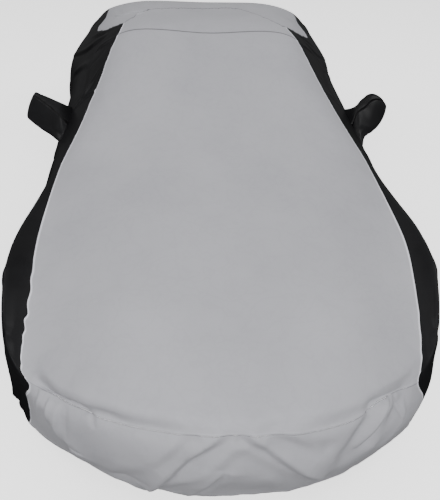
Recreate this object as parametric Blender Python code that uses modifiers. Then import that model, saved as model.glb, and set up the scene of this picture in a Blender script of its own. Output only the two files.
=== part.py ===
"""Fitted cover of a car, in the shape in which it hangs over the car.

The cover is a hollow shell of sewn panels: a grey panel over the bonnet and the
windscreen, a grey roof band, a grey rear panel with a rounded lobe on each side,
a grey front skirt, two black side panels and a black pocket for each door mirror.
The surface is one loft through the cross sections in SECTIONS. A place on it is
given by a station along the car, which is the number of a section, and a reach
across it: 0 at the middle, 1 to 4 at the points of a section, negative on the left.
"""
import math
from collections import namedtuple

import bpy
import numpy as np

# Sizes in metres.
CLOTH = 0.0015
SEAM_GAP = 0.0012
SPIKE_GAP = 0.003
ORIGIN_BEHIND_NOSE = 2.950
ORIGIN_HEIGHT = 1.2285

# One row for each cross section, from the front hem to the rear hem. Its middle
# lies "nose" behind the car's nose and its ends lie "sweep" further back. Four
# points give its shape: the rib near the middle, the belt, the side and the hem.
# "lean" shifts the whole section sideways, because the cover sits unevenly.
# Along a section "sweep" grows as a round front or rear does, to its full size at
# the widest point.
Section = namedtuple(
    "Section",
    "name nose crown_z sweep rib_x rib_z belt_x belt_z side_x side_z hem_x hem_z lean",
)
SECTIONS = [
    Section("hem_front", 0.075, 0.17, 0.495, 0.39, 0.18, 0.66, 0.225, 0.885, 0.18, 0.935, 0.19, 0.02),
    Section("skirt_mid", 0.0, 0.415, 0.58, 0.43, 0.415, 0.755, 0.39, 0.875, 0.4, 0.94, 0.2, 0.024),
    Section("skirt_top", 0.035, 0.635, 0.56, 0.445, 0.625, 0.765, 0.535, 0.895, 0.53, 0.95, 0.2, 0.006),
    Section("bonnet_lip", 0.145, 0.7, 0.475, 0.45, 0.685, 0.8, 0.59, 0.92, 0.64, 0.955, 0.2, 0.0),
    Section("bonnet_front", 0.475, 0.775, 0.335, 0.455, 0.76, 0.82, 0.67, 0.975, 0.71, 0.965, 0.2, 0.01),
    Section("bonnet_mid", 0.97, 0.845, 0.2, 0.445, 0.835, 0.815, 0.73, 1.0, 0.7, 0.975, 0.2, 0.022),
    Section("cowl", 1.515, 0.925, 0.19, 0.45, 0.91, 0.81, 0.815, 0.94, 0.675, 0.935, 0.2, 0.022),
    Section("screen_low", 1.885, 1.005, 0.195, 0.48, 0.985, 0.755, 0.91, 0.95, 0.675, 0.94, 0.2, 0.018),
    Section("screen_high", 2.285, 1.13, 0.185, 0.49, 1.115, 0.775, 0.95, 0.94, 0.7, 0.935, 0.2, 0.01),
    Section("header", 2.585, 1.21, 0.175, 0.5, 1.203, 0.795, 0.975, 0.935, 0.705, 0.93, 0.2, 0.002),
    Section("roof_front", 2.805, 1.233, 0.18, 0.5, 1.221, 0.805, 0.98, 0.955, 0.715, 0.945, 0.2, -0.008),
    Section("roof_crest", 3.125, 1.217, 0.22, 0.51, 1.2, 0.82, 0.985, 0.99, 0.73, 0.965, 0.2, -0.006),
    Section("roof_rear", 3.54, 1.167, 0.26, 0.51, 1.147, 0.8, 1.0, 0.955, 0.7, 0.935, 0.2, 0.01),
    Section("rear_screen", 3.965, 1.03, 0.17, 0.5, 1.0, 0.785, 0.945, 0.92, 0.68, 0.91, 0.2, 0.015),
    Section("tail_edge", 4.33, 0.88, -0.02, 0.5, 0.865, 0.765, 0.81, 0.91, 0.69, 0.91, 0.2, 0.005),
    Section("tail", 4.5, 0.74, -0.16, 0.48, 0.735, 0.72, 0.7, 0.86, 0.62, 0.895, 0.2, 0.002),
    Section("hem_rear", 4.48, 0.22, -0.11, 0.4, 0.22, 0.64, 0.215, 0.8, 0.21, 0.87, 0.2, 0.0),
]
HEADER_SEAM = 9.2
SPIKE = 9.95
LOBE_LOW = 11.08
HEM_REACH = 4.0

# Reach of the seam between grey and black, left and right. It runs to the tip of
# a black spike, then along the lobe of the rear panel and on to the rear hem.
SeamPoint = namedtuple("SeamPoint", "station left right")
SEAM_TO_SPIKE = [
    SeamPoint(0.0, 2.95, 2.60),
    SeamPoint(1.0, 2.70, 2.36),
    SeamPoint(2.0, 2.20, 2.08),
    SeamPoint(3.0, 2.16, 2.06),
    SeamPoint(4.1, 2.13, 2.14),
    SeamPoint(5.0, 2.28, 2.30),
    SeamPoint(5.5, 2.28, 2.28),
    SeamPoint(6.5, 2.12, 2.15),
    SeamPoint(7.0, 2.03, 2.04),
    SeamPoint(7.4, 1.87, 1.87),
    SeamPoint(7.8, 1.64, 1.66),
    SeamPoint(8.3, 1.46, 1.46),
    SeamPoint(HEADER_SEAM, 1.19, 1.23),
    SeamPoint(SPIKE, 1.09, 1.12),
]
SEAM_FROM_SPIKE = [
    SeamPoint(SPIKE, 1.09, 1.12),
    SeamPoint(10.12, 1.37, 1.38),
    SeamPoint(10.50, 1.57, 1.61),
    SeamPoint(LOBE_LOW, 1.76, 1.83),
    SeamPoint(11.35, 1.62, 1.62),
    SeamPoint(11.80, 1.66, 1.65),
    SeamPoint(12.60, 1.83, 1.83),
    SeamPoint(13.50, 2.00, 2.00),
    SeamPoint(16.00, 2.10, 2.10),
]
# Station of the seam between the skirt and the top panel, from the middle to the
# corners, which it reaches higher up on the left. The rows of the top panel follow
# it up to the last one of them, at SKIRT_SEAM_FADE.
SkirtSeamPoint = namedtuple("SkirtSeamPoint", "share left right")
SKIRT_SEAM = [
    SkirtSeamPoint(0.00, 2.00, 2.00),
    SkirtSeamPoint(0.58, 1.96, 1.98),
    SkirtSeamPoint(0.65, 2.03, 2.12),
    SkirtSeamPoint(0.74, 2.12, 2.23),
    SkirtSeamPoint(0.88, 2.37, 2.19),
    SkirtSeamPoint(1.00, 2.46, 2.08),
]
SKIRT_SEAM_FADE = 4.0
# Station of the seam that arches over the roof, from the middle to the two spikes.
ArchPoint = namedtuple("ArchPoint", "share left right")
ARCH = [
    ArchPoint(0.00, 11.22, 11.22),
    ArchPoint(0.45, 11.05, 11.10),
    ArchPoint(0.70, 10.75, 10.40),
    ArchPoint(0.85, 10.28, 10.05),
    ArchPoint(1.00, SPIKE, SPIKE),
]
# Where the rows of a side panel meet the hem, behind the nose: they fan out at
# the corners, where the sections crowd together.
HemSpread = namedtuple("HemSpread", "station nose")
HEM_SPREAD_FRONT = [
    HemSpread(0.0, 0.572),
    HemSpread(2.0, 0.700),
    HemSpread(3.0, 0.770),
    HemSpread(4.0, 0.880),
]
HEM_SPREAD_REAR = [
    HemSpread(13.0, 4.080),
    HemSpread(14.0, 4.200),
    HemSpread(15.0, 4.290),
    HemSpread(16.0, 4.368),
]

# Main folds: soft ridges, or troughs where "rise" is negative, from one place of
# the surface to another. "spread" is the half width of a fold.
Fold = namedtuple("Fold", "name from_station from_reach to_station to_reach spread rise")
FOLDS = [
    Fold("skirt_ridge_left", 1.70, -0.05, 0.25, -0.78, 0.035, 0.016),
    Fold("skirt_trough_left", 1.40, -0.45, 0.35, -1.10, 0.045, -0.010),
    Fold("skirt_ridge_middle", 1.10, -0.08, 0.15, -0.30, 0.030, 0.008),
    Fold("skirt_ridge_right", 1.70, 0.08, 0.60, 0.72, 0.035, 0.016),
    Fold("skirt_trough_right", 1.75, 0.25, 1.45, 0.70, 0.040, -0.012),
    Fold("corner_trough_right", 1.90, 1.70, 0.95, 0.95, 0.045, -0.014),
    Fold("corner_ridge_right", 1.85, 1.45, 1.05, 1.25, 0.035, 0.010),
    Fold("corner_ridge_left", 1.75, -1.85, 0.60, -1.55, 0.045, 0.010),
    Fold("fender_fold_left", 5.90, -2.75, 4.60, -3.30, 0.050, -0.008),
    Fold("cabin_fold_left", 8.10, -2.10, 9.40, -1.90, 0.045, -0.010),
    Fold("cabin_fold_right", 8.10, 2.10, 9.50, 1.95, 0.045, -0.010),
]

# Mirror pockets. The root is a ring on the side panel and the other rings are
# rounded four-sided loops. A corner is a place: x outward, nose, height.
Root = namedtuple("Root", "corner station reach")
Ring = namedtuple("Ring", "front_top rear_top rear_low front_low roundness")
POCKET_ROOT = {
    "left": [Root("front_top", 7.22, 2.46), Root("rear_top", 7.70, 2.44),
             Root("rear_low", 7.62, 2.86), Root("front_low", 6.88, 2.70)],
    "right": [Root("front_top", 7.30, 2.50), Root("rear_top", 7.72, 2.42),
              Root("rear_low", 7.62, 2.90), Root("front_low", 6.84, 2.72)],
}
POCKET_RINGS = {
    "left": [
        Ring((0.88, 2.11, 0.874), (0.885, 2.272, 0.886), (0.925, 2.27, 0.765), (0.925, 2.045, 0.768), 0.25),
        Ring((0.97, 2.215, 0.9), (0.975, 2.305, 0.912), (1.025, 2.29, 0.768), (1.02, 2.16, 0.768), 0.25),
        Ring((1.064, 2.3, 0.928), (1.068, 2.345, 0.932), (1.13, 2.325, 0.792), (1.124, 2.268, 0.79), 0.3),
    ],
    "right": [
        Ring((0.905, 2.165, 0.875), (0.905, 2.27, 0.888), (0.95, 2.265, 0.772), (0.95, 2.05, 0.768), 0.5),
        Ring((0.985, 2.245, 0.909), (0.985, 2.345, 0.914), (1.035, 2.32, 0.77), (1.034, 2.15, 0.772), 0.7),
        Ring((1.068, 2.312, 0.936), (1.074, 2.38, 0.93), (1.12, 2.35, 0.79), (1.114, 2.255, 0.794), 0.9),
        Ring((1.136, 2.335, 0.903), (1.138, 2.365, 0.895), (1.152, 2.35, 0.828), (1.15, 2.31, 0.832), 1.0),
    ],
}
POCKET_SIDE_STEPS = 4
POCKET_RING_STEPS = 2
ROOT_ROUNDNESS = 0.40
OVAL_FULLNESS = 0.9
# A pocket's root reaches through the hole by "neck", and stands out by "collar".
POCKET_NECK = 0.012
POCKET_COLLAR = 0.0096
HOLE_CUTTER_REACH = 0.019
POCKET_GAP = 0.0006
POCKET_SEAM_INSET = CLOTH + POCKET_GAP
# The end of a pocket domes outward by "cap", and by "tip" at its middle.
POCKET_CAP = 0.010
POCKET_TIP = 0.013
CAP_SHARE = 0.6

# Steps of the panels' grids.
SKIRT_ROWS = 10
SKIRT_COLUMNS = 20
TOP_STEPS = [(2, 3, 3), (3, 4, 3), (4, 5, 5), (5, 6, 6), (6, 7, 4), (7, 8, 5), (8, HEADER_SEAM, 5)]
TOP_COLUMNS = 10
BAND_ROWS = 6
LOBE_STATIONS = [SPIKE, 10.03, 10.14, 10.34, 10.58, 10.84, LOBE_LOW]
REAR_STEPS = [(LOBE_LOW, 11.35, 2), (11.35, 12, 3), (12, 13, 4), (13, 14, 3), (14, 15, 2), (15, 16, 4)]
SIDE_COLUMNS = 7
SIDE_CROWDING = 0.85
BLEND_SHARE = 0.35
HEM_SEARCH_STEPS = 200

GREY = (0.38, 0.38, 0.40, 1.0)
BLACK = (0.012, 0.012, 0.014, 1.0)


# ---------------------------------------------------------------- the surface

def spline(places, knots, values):
    """Smooth curve through the values, which are one row for each knot."""
    knots = np.asarray(knots, float)
    values = np.asarray(values, float).reshape(len(knots), -1)
    gaps = np.diff(knots)[:, None]
    chords = np.diff(values, axis=0) / gaps
    slopes = np.empty_like(values)
    slopes[1:-1] = (chords[:-1] * gaps[1:] + chords[1:] * gaps[:-1]) / (gaps[1:] + gaps[:-1])
    slopes[0] = chords[0]
    slopes[-1] = chords[-1]
    places = np.atleast_1d(np.asarray(places, float))
    left = np.clip(np.searchsorted(knots, places, side="right") - 1, 0, len(knots) - 2)
    gap = gaps[left]
    share = (places - knots[left])[:, None] / gap
    return (
        (1 + 2 * share) * (1 - share) ** 2 * values[left]
        + share * (1 - share) ** 2 * gap * slopes[left]
        + share ** 2 * (3 - 2 * share) * values[left + 1]
        + share ** 2 * (share - 1) * gap * slopes[left + 1]
    )


SECTION_VALUES = np.array([row[1:] for row in SECTIONS])
SWEEP_MARGIN = 1.03
SWEEP_FULL = 1 - math.sqrt(1 - 1 / SWEEP_MARGIN ** 2)


def smooth_place(station, reach):
    """The loft without folds, in metres behind the nose and above the ground."""
    row = Section("between", *spline(station, range(len(SECTIONS)), SECTION_VALUES)[0])
    across = [-row.rib_x, 0, row.rib_x, row.belt_x, row.side_x, row.hem_x]
    heights = [row.rib_z, row.crown_z, row.rib_z, row.belt_z, row.side_z, row.hem_z]
    x, z = spline(abs(reach), [-1, 0, 1, 2, 3, 4], np.transpose([across, heights]))[0]
    widest = SWEEP_MARGIN * max(row.side_x, row.hem_x)
    back = (1 - math.sqrt(max(0.0, 1 - (x / widest) ** 2))) / SWEEP_FULL
    side = -1 if reach < 0 else 1
    return np.array([side * x + row.lean, row.nose + row.sweep * back, z])


SLOPE_STEP = 0.01


def outward(station, reach):
    """Unit normal of the loft, pointing out of the cover."""
    before = max(station - SLOPE_STEP, 0)
    after = min(station + SLOPE_STEP, len(SECTIONS) - 1)
    along = smooth_place(after, reach) - smooth_place(before, reach)
    middle = min(max(reach, SLOPE_STEP - HEM_REACH), HEM_REACH - SLOPE_STEP)
    across = smooth_place(station, middle + SLOPE_STEP) - smooth_place(station, middle - SLOPE_STEP)
    normal = np.cross(across, along)
    return normal / np.linalg.norm(normal)


FOLD_STEPS = 8


def fold_line(fold):
    shares = np.linspace(0, 1, FOLD_STEPS + 1)
    return np.array([
        smooth_place(
            fold.from_station + share * (fold.to_station - fold.from_station),
            fold.from_reach + share * (fold.to_reach - fold.from_reach),
        )
        for share in shares
    ])


FOLD_LINES = [fold_line(fold) for fold in FOLDS]


def fold_rise(place):
    """How far the folds lift the cloth at a place."""
    total = 0.0
    for fold, line in zip(FOLDS, FOLD_LINES):
        starts, ends = line[:-1], line[1:]
        runs = ends - starts
        shares = np.clip(np.sum((place - starts) * runs, axis=1) / np.sum(runs ** 2, axis=1), 0, 1)
        distance = np.min(np.linalg.norm(starts + shares[:, None] * runs - place, axis=1))
        total += fold.rise * math.exp(-(distance / fold.spread) ** 2)
    return total


def place_on_cover(station, reach):
    """A point of the outer face of the cloth, in the part's own frame."""
    place = smooth_place(station, reach)
    place = place + fold_rise(place) * outward(station, reach)
    return place - np.array([0.0, ORIGIN_BEHIND_NOSE, ORIGIN_HEIGHT])


def seam_reach(station, side):
    table = SEAM_TO_SPIKE if station <= SPIKE else SEAM_FROM_SPIKE
    values = [row.left if side < 0 else row.right for row in table]
    return float(spline(station, [row.station for row in table], values)[0, 0])


def seam_station(table, share):
    """Station of a seam that crosses the cover, at a share of the way to its end."""
    values = [row.left if share < 0 else row.right for row in table]
    return float(np.interp(abs(share), [row.share for row in table], values))


def skirt_station(row, share):
    return row / SKIRT_ROWS * seam_station(SKIRT_SEAM, share)


def top_station(station, share):
    """Station of a row of the top panel, which starts along the skirt's seam."""
    start = seam_station(SKIRT_SEAM, share)
    left_over = max(0.0, (SKIRT_SEAM_FADE - station) / (SKIRT_SEAM_FADE - TOP_STATIONS[0]))
    return station + (start - TOP_STATIONS[0]) * left_over


def band_station(row, share):
    return HEADER_SEAM + row / BAND_ROWS * (seam_station(ARCH, share) - HEADER_SEAM)


def steps(table):
    """Stations from a table of (first, last, number of steps)."""
    stations = [table[0][0]]
    for first, last, count in table:
        stations += list(np.linspace(first, last, count + 1)[1:])
    return stations


TOP_STATIONS = steps(TOP_STEPS)
REAR_STATIONS = steps(REAR_STEPS)


def side_stations(side):
    """Stations of the rows of a side panel, which meet the rows of the grey panels."""
    stations = [skirt_station(row, side) for row in range(SKIRT_ROWS)]
    stations += [top_station(station, side) for station in TOP_STATIONS]
    stations += [band_station(row, side) for row in range(1, BAND_ROWS + 1)]
    return stations + LOBE_STATIONS[1:] + REAR_STATIONS[1:]


# ---------------------------------------------------------------- the grids

def grid(rows, columns, locate):
    """Points of a panel: locate(row, column) gives a station and a reach."""
    return np.array([[place_on_cover(*locate(row, column)) for column in columns] for row in rows])


def shares_of(columns):
    return np.arange(-columns, columns + 1) / columns


def across_panel(station, share):
    side = -1 if share < 0 else 1
    return station, share * seam_reach(station, side)


def skirt_grid():
    def locate(row, share):
        return across_panel(skirt_station(row, share), share)

    points = grid(range(SKIRT_ROWS + 1), shares_of(SKIRT_COLUMNS), locate)
    # The skirt has twice the columns of the top panel, so along their seam every
    # second point lies on the straight line between its neighbours.
    points[-1, 1:-1:2] = (points[-1, 0:-2:2] + points[-1, 2::2]) / 2
    return points


def top_grid():
    def locate(station, share):
        return across_panel(top_station(station, share), share)

    return grid(TOP_STATIONS, shares_of(TOP_COLUMNS), locate)


def band_grid():
    def locate(row, share):
        _, reach = across_panel(band_station(row, math.copysign(1, share)), share)
        return band_station(row, share), reach

    return grid(range(BAND_ROWS + 1), shares_of(TOP_COLUMNS), locate)


def rear_front_edge():
    """Stations and reaches of the rear panel's front edge: lobe, arch, lobe."""
    edge = []
    for station in reversed(LOBE_STATIONS[1:]):
        edge.append((station, -seam_reach(station, -1)))
    for share in shares_of(TOP_COLUMNS):
        side = -1 if share < 0 else 1
        edge.append((seam_station(ARCH, share), share * seam_reach(SPIKE, side)))
    for station in LOBE_STATIONS[1:]:
        edge.append((station, seam_reach(station, 1)))
    return edge


def rear_grid():
    edge = rear_front_edge()
    last = REAR_STATIONS[-1]

    def locate(station, column):
        share = 2 * column / (len(edge) - 1) - 1
        side = -1 if share < 0 else 1
        front_station, front_reach = edge[column]
        down = (station - LOBE_LOW) / (last - LOBE_LOW)
        blend = min(1.0, down / BLEND_SHARE)
        blend = blend * blend * (3 - 2 * blend)
        front_share = front_reach / seam_reach(LOBE_LOW, side)
        reach = seam_reach(station, side) * ((1 - blend) * front_share + blend * share)
        return front_station + (last - front_station) * down, reach

    return grid(REAR_STATIONS, range(len(edge)), locate)


def hem_station(station):
    """Station at which a row of a side panel meets the hem."""
    spread = None
    if station <= HEM_SPREAD_FRONT[-1].station:
        spread = HEM_SPREAD_FRONT
    if station >= HEM_SPREAD_REAR[0].station:
        spread = HEM_SPREAD_REAR
    if spread is None:
        return station
    nose = np.interp(station, [row.station for row in spread], [row.nose for row in spread])
    low, high = spread[0].station - 1, spread[-1].station + 1
    stations = np.linspace(max(low, 0), min(high, len(SECTIONS) - 1), HEM_SEARCH_STEPS)
    noses = [smooth_place(value, HEM_REACH)[1] for value in stations]
    return float(np.interp(nose, noses, stations))


def side_grid(side):
    def locate(station, column):
        share = (column / SIDE_COLUMNS) ** SIDE_CROWDING
        start = seam_reach(station, side)
        reach = start + (HEM_REACH - start) * share
        return station + (hem_station(station) - station) * share, side * reach

    return grid(side_stations(side), range(SIDE_COLUMNS + 1), locate)


def inset_edge(points, inner, amount):
    """Move the points of an edge towards the inner points, square to the edge."""
    tangent = np.gradient(points, axis=0)
    tangent /= np.linalg.norm(tangent, axis=1, keepdims=True)
    inward = inner - points
    inward -= np.sum(inward * tangent, axis=1, keepdims=True) * tangent
    inward /= np.linalg.norm(inward, axis=1, keepdims=True)
    return points + amount * inward


def inset_grid(points, front=0.0, rear=0.0, left=0.0, right=0.0):
    """Draw the edges of a grid in by half the gap of their seams."""
    result = points.copy()
    if front:
        result[0] += inset_edge(points[0], points[1], front) - points[0]
    if rear:
        result[-1] += inset_edge(points[-1], points[-2], rear) - points[-1]
    if left:
        result[:, 0] += inset_edge(points[:, 0], points[:, 1], left) - points[:, 0]
    if right:
        result[:, -1] += inset_edge(points[:, -1], points[:, -2], right) - points[:, -1]
    return result


# ---------------------------------------------------------------- the objects

def new_collection(name):
    collection = bpy.data.collections.new(name)
    bpy.context.scene.collection.children.link(collection)
    return collection


def new_material(name, colour, roughness):
    material = bpy.data.materials.new(name)
    material.use_nodes = True
    shader = material.node_tree.nodes["Principled BSDF"]
    shader.inputs["Base Color"].default_value = colour
    shader.inputs["Roughness"].default_value = roughness
    shader.inputs["Metallic"].default_value = 0.0
    material.diffuse_color = colour
    return material


def new_object(name, vertices, faces, collection, material=None):
    mesh = bpy.data.meshes.new(name)
    mesh.from_pydata([tuple(vertex) for vertex in vertices], [], faces)
    mesh.update()
    mesh.shade_smooth()
    thing = bpy.data.objects.new(name, mesh)
    collection.objects.link(thing)
    if material:
        mesh.materials.append(material)
    return thing


def thicken(thing):
    """Give an open sheet the thickness of the cloth, inward from its outer face."""
    modifier = thing.modifiers.new("cloth", "SOLIDIFY")
    modifier.thickness = CLOTH
    modifier.offset = -1
    return thing


def sheet(name, points, material, collection, flip=False):
    """A panel: a loft through the rows of a grid of points."""
    rows, columns = points.shape[:2]
    faces = []
    for row in range(rows - 1):
        for column in range(columns - 1):
            corner = row * columns + column
            face = (corner, corner + 1, corner + columns + 1, corner + columns)
            faces.append(face[::-1] if flip else face)
    return thicken(new_object(name, points.reshape(-1, 3), faces, collection, material))


# ---------------------------------------------------------------- the pockets

CORNERS = ("front_top", "rear_top", "rear_low", "front_low")


def rounded_loop(corners, roundness):
    """A loop through four corners, from straight sides to an oval."""
    corners = np.array(corners, float)
    middle = corners.mean(axis=0)
    loop = []
    for index in range(4):
        start, end = corners[index], corners[(index + 1) % 4]
        for step in range(POCKET_SIDE_STEPS):
            share = step / POCKET_SIDE_STEPS
            straight = start + share * (end - start)
            angle = (share - 0.5) * math.pi / 2
            half = (start + end) / 2 - middle
            run = (end - start) / 2
            bulge = half * math.cos(angle) + run * math.sin(angle)
            oval = middle + OVAL_FULLNESS * math.sqrt(2) * bulge
            loop.append(straight + roundness * (oval - straight))
    return np.array(loop)


def pocket_root(side_name, side):
    """The ring in which a pocket meets its side panel, and the way it points."""
    roots = {root.corner: root for root in POCKET_ROOT[side_name]}
    corners = [(roots[name].station, roots[name].reach, 0.0) for name in CORNERS]
    loop = []
    normals = []
    for station, reach, _ in rounded_loop(corners, ROOT_ROUNDNESS):
        loop.append(place_on_cover(station, side * reach))
        normals.append(outward(station, side * reach))
    normal = np.mean(normals, axis=0)
    return np.array(loop), normal / np.linalg.norm(normal)


def pocket_rings(side_name, side):
    root, normal = pocket_root(side_name, side)
    shift = np.array([0.0, ORIGIN_BEHIND_NOSE, ORIGIN_HEIGHT])
    outer = []
    for ring in POCKET_RINGS[side_name]:
        corners = [np.array(getattr(ring, name)) * (side, 1, 1) - shift for name in CORNERS]
        outer.append(rounded_loop(corners, ring.roundness))
    rings = [root - POCKET_NECK * normal, root + POCKET_COLLAR * normal]
    rings.append(outer[0])
    for first, second in zip(outer, outer[1:]):
        for step in range(1, POCKET_RING_STEPS + 1):
            rings.append(first + step / POCKET_RING_STEPS * (second - first))
    return rings, root, normal


def pocket(side_name, side, collection, material):
    """A pocket's two panels, and the solid that cuts its hole."""
    rings, root, normal = pocket_rings(side_name, side)
    count = len(root)
    end_middle = rings[-1].mean(axis=0)
    way_out = end_middle - rings[-2].mean(axis=0)
    way_out /= np.linalg.norm(way_out)
    cap = end_middle + CAP_SHARE * (rings[-1] - end_middle) + POCKET_CAP * way_out
    tip = end_middle + POCKET_TIP * way_out
    flip = side > 0

    # The front panel wraps the front, the underside and the back, and closes the end.
    wall = list(range(POCKET_SIDE_STEPS, count)) + [0]
    vertices = [ring[index] for ring in rings for index in wall]
    faces = []
    width = len(wall)
    for row in range(len(rings) - 1):
        for column in range(width - 1):
            corner = row * width + column
            faces.append((corner, corner + 1, corner + width + 1, corner + width))
    last_ring = []
    for index in range(count):
        if index in wall:
            last_ring.append((len(rings) - 1) * width + wall.index(index))
        else:
            last_ring.append(len(vertices))
            vertices.append(rings[-1][index])
    cap_start = len(vertices)
    vertices += list(cap)
    for index in range(count):
        following = (index + 1) % count
        faces.append((last_ring[index], last_ring[following], cap_start + following, cap_start + index))
    vertices.append(tip)
    for index in range(count):
        following = (index + 1) % count
        faces.append((cap_start + index, cap_start + following, len(vertices) - 1))
    if flip:
        faces = [face[::-1] for face in faces]
    thicken(new_object(f"mirror_pocket_{side_name}_front", vertices, faces, collection, material))

    # The top panel lies between the upper edges of the front panel.
    top = np.array([[ring[index] for index in range(POCKET_SIDE_STEPS + 1)] for ring in rings])
    top = inset_grid(top, rear=POCKET_SEAM_INSET, left=POCKET_SEAM_INSET, right=POCKET_SEAM_INSET)
    sheet(f"mirror_pocket_{side_name}_top", top, material, collection, flip)
    return root, normal


def hole_cutter(side_name, root, normal, collection):
    """A straight plug a little wider than the pocket's root."""
    along = np.roll(root, -1, axis=0) - root
    along /= np.linalg.norm(along, axis=1, keepdims=True)
    away = np.cross(along, normal)
    away /= np.linalg.norm(away, axis=1, keepdims=True)
    if np.sum(away * (root - root.mean(axis=0))) < 0:
        away = -away
    before = np.roll(away, 1, axis=0)
    meeting = (away + before) / (1 + np.sum(away * before, axis=1, keepdims=True))
    wide = root + POCKET_GAP * meeting
    vertices = list(wide - HOLE_CUTTER_REACH * normal) + list(wide + HOLE_CUTTER_REACH * normal)
    count = len(root)
    faces = [tuple(range(count)), tuple(range(2 * count - 1, count - 1, -1))]
    for index in range(count):
        following = (index + 1) % count
        faces.append((index, index + count, following + count, following))
    turning = np.dot(np.cross(root[1] - root[0], root[2] - root[1]), normal)
    if turning > 0:
        faces = [face[::-1] for face in faces]
    cutter = new_object(f"{side_name}_hole", vertices, faces, collection)
    cutter.hide_render = True
    cutter.display_type = "WIRE"
    return cutter


def cut(thing, cutter):
    modifier = thing.modifiers.new("mirror_hole", "BOOLEAN")
    modifier.operation = "DIFFERENCE"
    modifier.object = cutter


# ---------------------------------------------------------------- the cover

def build():
    for thing in list(bpy.data.objects):
        bpy.data.objects.remove(thing)
    cover = new_collection("car_cover")
    cutters = new_collection("cutters")
    grey = new_material("grey_cloth", GREY, 0.75)
    black = new_material("black_cloth", BLACK, 0.55)
    half = SEAM_GAP / 2

    sheet("front_skirt", inset_grid(skirt_grid(), rear=half, left=half, right=half), grey, cover)
    sheet("top_panel", inset_grid(top_grid(), half, half, half, half), grey, cover)
    sheet("roof_band", inset_grid(band_grid(), half, half, half, half), grey, cover)
    sheet("rear_panel", inset_grid(rear_grid(), front=half, left=half, right=half), grey, cover)
    for side_name, side in (("left", -1), ("right", 1)):
        spike_row = SKIRT_ROWS + len(TOP_STATIONS) + BAND_ROWS - 1
        points = side_grid(side)
        drawn = inset_grid(points, left=half)
        into = points[spike_row, 1] - points[spike_row, 0]
        drawn[spike_row, 0] = points[spike_row, 0] + SPIKE_GAP * into / np.linalg.norm(into)
        panel = sheet(f"side_panel_{side_name}", drawn, black, cover, flip=side < 0)
        root, normal = pocket(side_name, side, cover, black)
        cut(panel, hole_cutter(side_name, root, normal, cutters))


build()
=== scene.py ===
"""Looks of the fitted car cover: fine cloth panels, mirror pockets, seams and stitches.

The surface is the loft of the model's own cross sections. A place on it is given by a
station along the car and a reach across it: 0 at the middle, 4 at the hem, negative on
the left. Sizes are in metres; +Z is up and +Y runs from the car's nose to its tail.
"""

import math
from collections import namedtuple

import bpy
import numpy as np
from mathutils import Matrix, Vector


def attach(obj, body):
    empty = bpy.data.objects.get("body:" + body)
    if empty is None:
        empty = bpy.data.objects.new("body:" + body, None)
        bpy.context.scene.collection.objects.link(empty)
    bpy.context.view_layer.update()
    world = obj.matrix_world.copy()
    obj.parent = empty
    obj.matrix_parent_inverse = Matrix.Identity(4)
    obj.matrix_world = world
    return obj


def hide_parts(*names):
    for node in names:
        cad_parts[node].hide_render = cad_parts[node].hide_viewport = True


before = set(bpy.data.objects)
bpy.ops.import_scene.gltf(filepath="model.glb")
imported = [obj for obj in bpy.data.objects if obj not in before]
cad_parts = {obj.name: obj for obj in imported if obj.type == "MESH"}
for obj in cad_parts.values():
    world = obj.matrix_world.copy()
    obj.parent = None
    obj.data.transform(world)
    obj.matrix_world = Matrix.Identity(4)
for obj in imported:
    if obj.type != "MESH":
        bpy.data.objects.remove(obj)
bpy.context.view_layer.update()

# ---- sizes and tables

def named_rows(kind, rows):
    """The rows of a plain table as named tuples."""
    return [kind(*row) for row in rows]


CLOTH = 0.0015
EDGE_GAP = 0.0004
ORIGIN_BEHIND_NOSE = 2.95
GROUND = -1.2285

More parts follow.
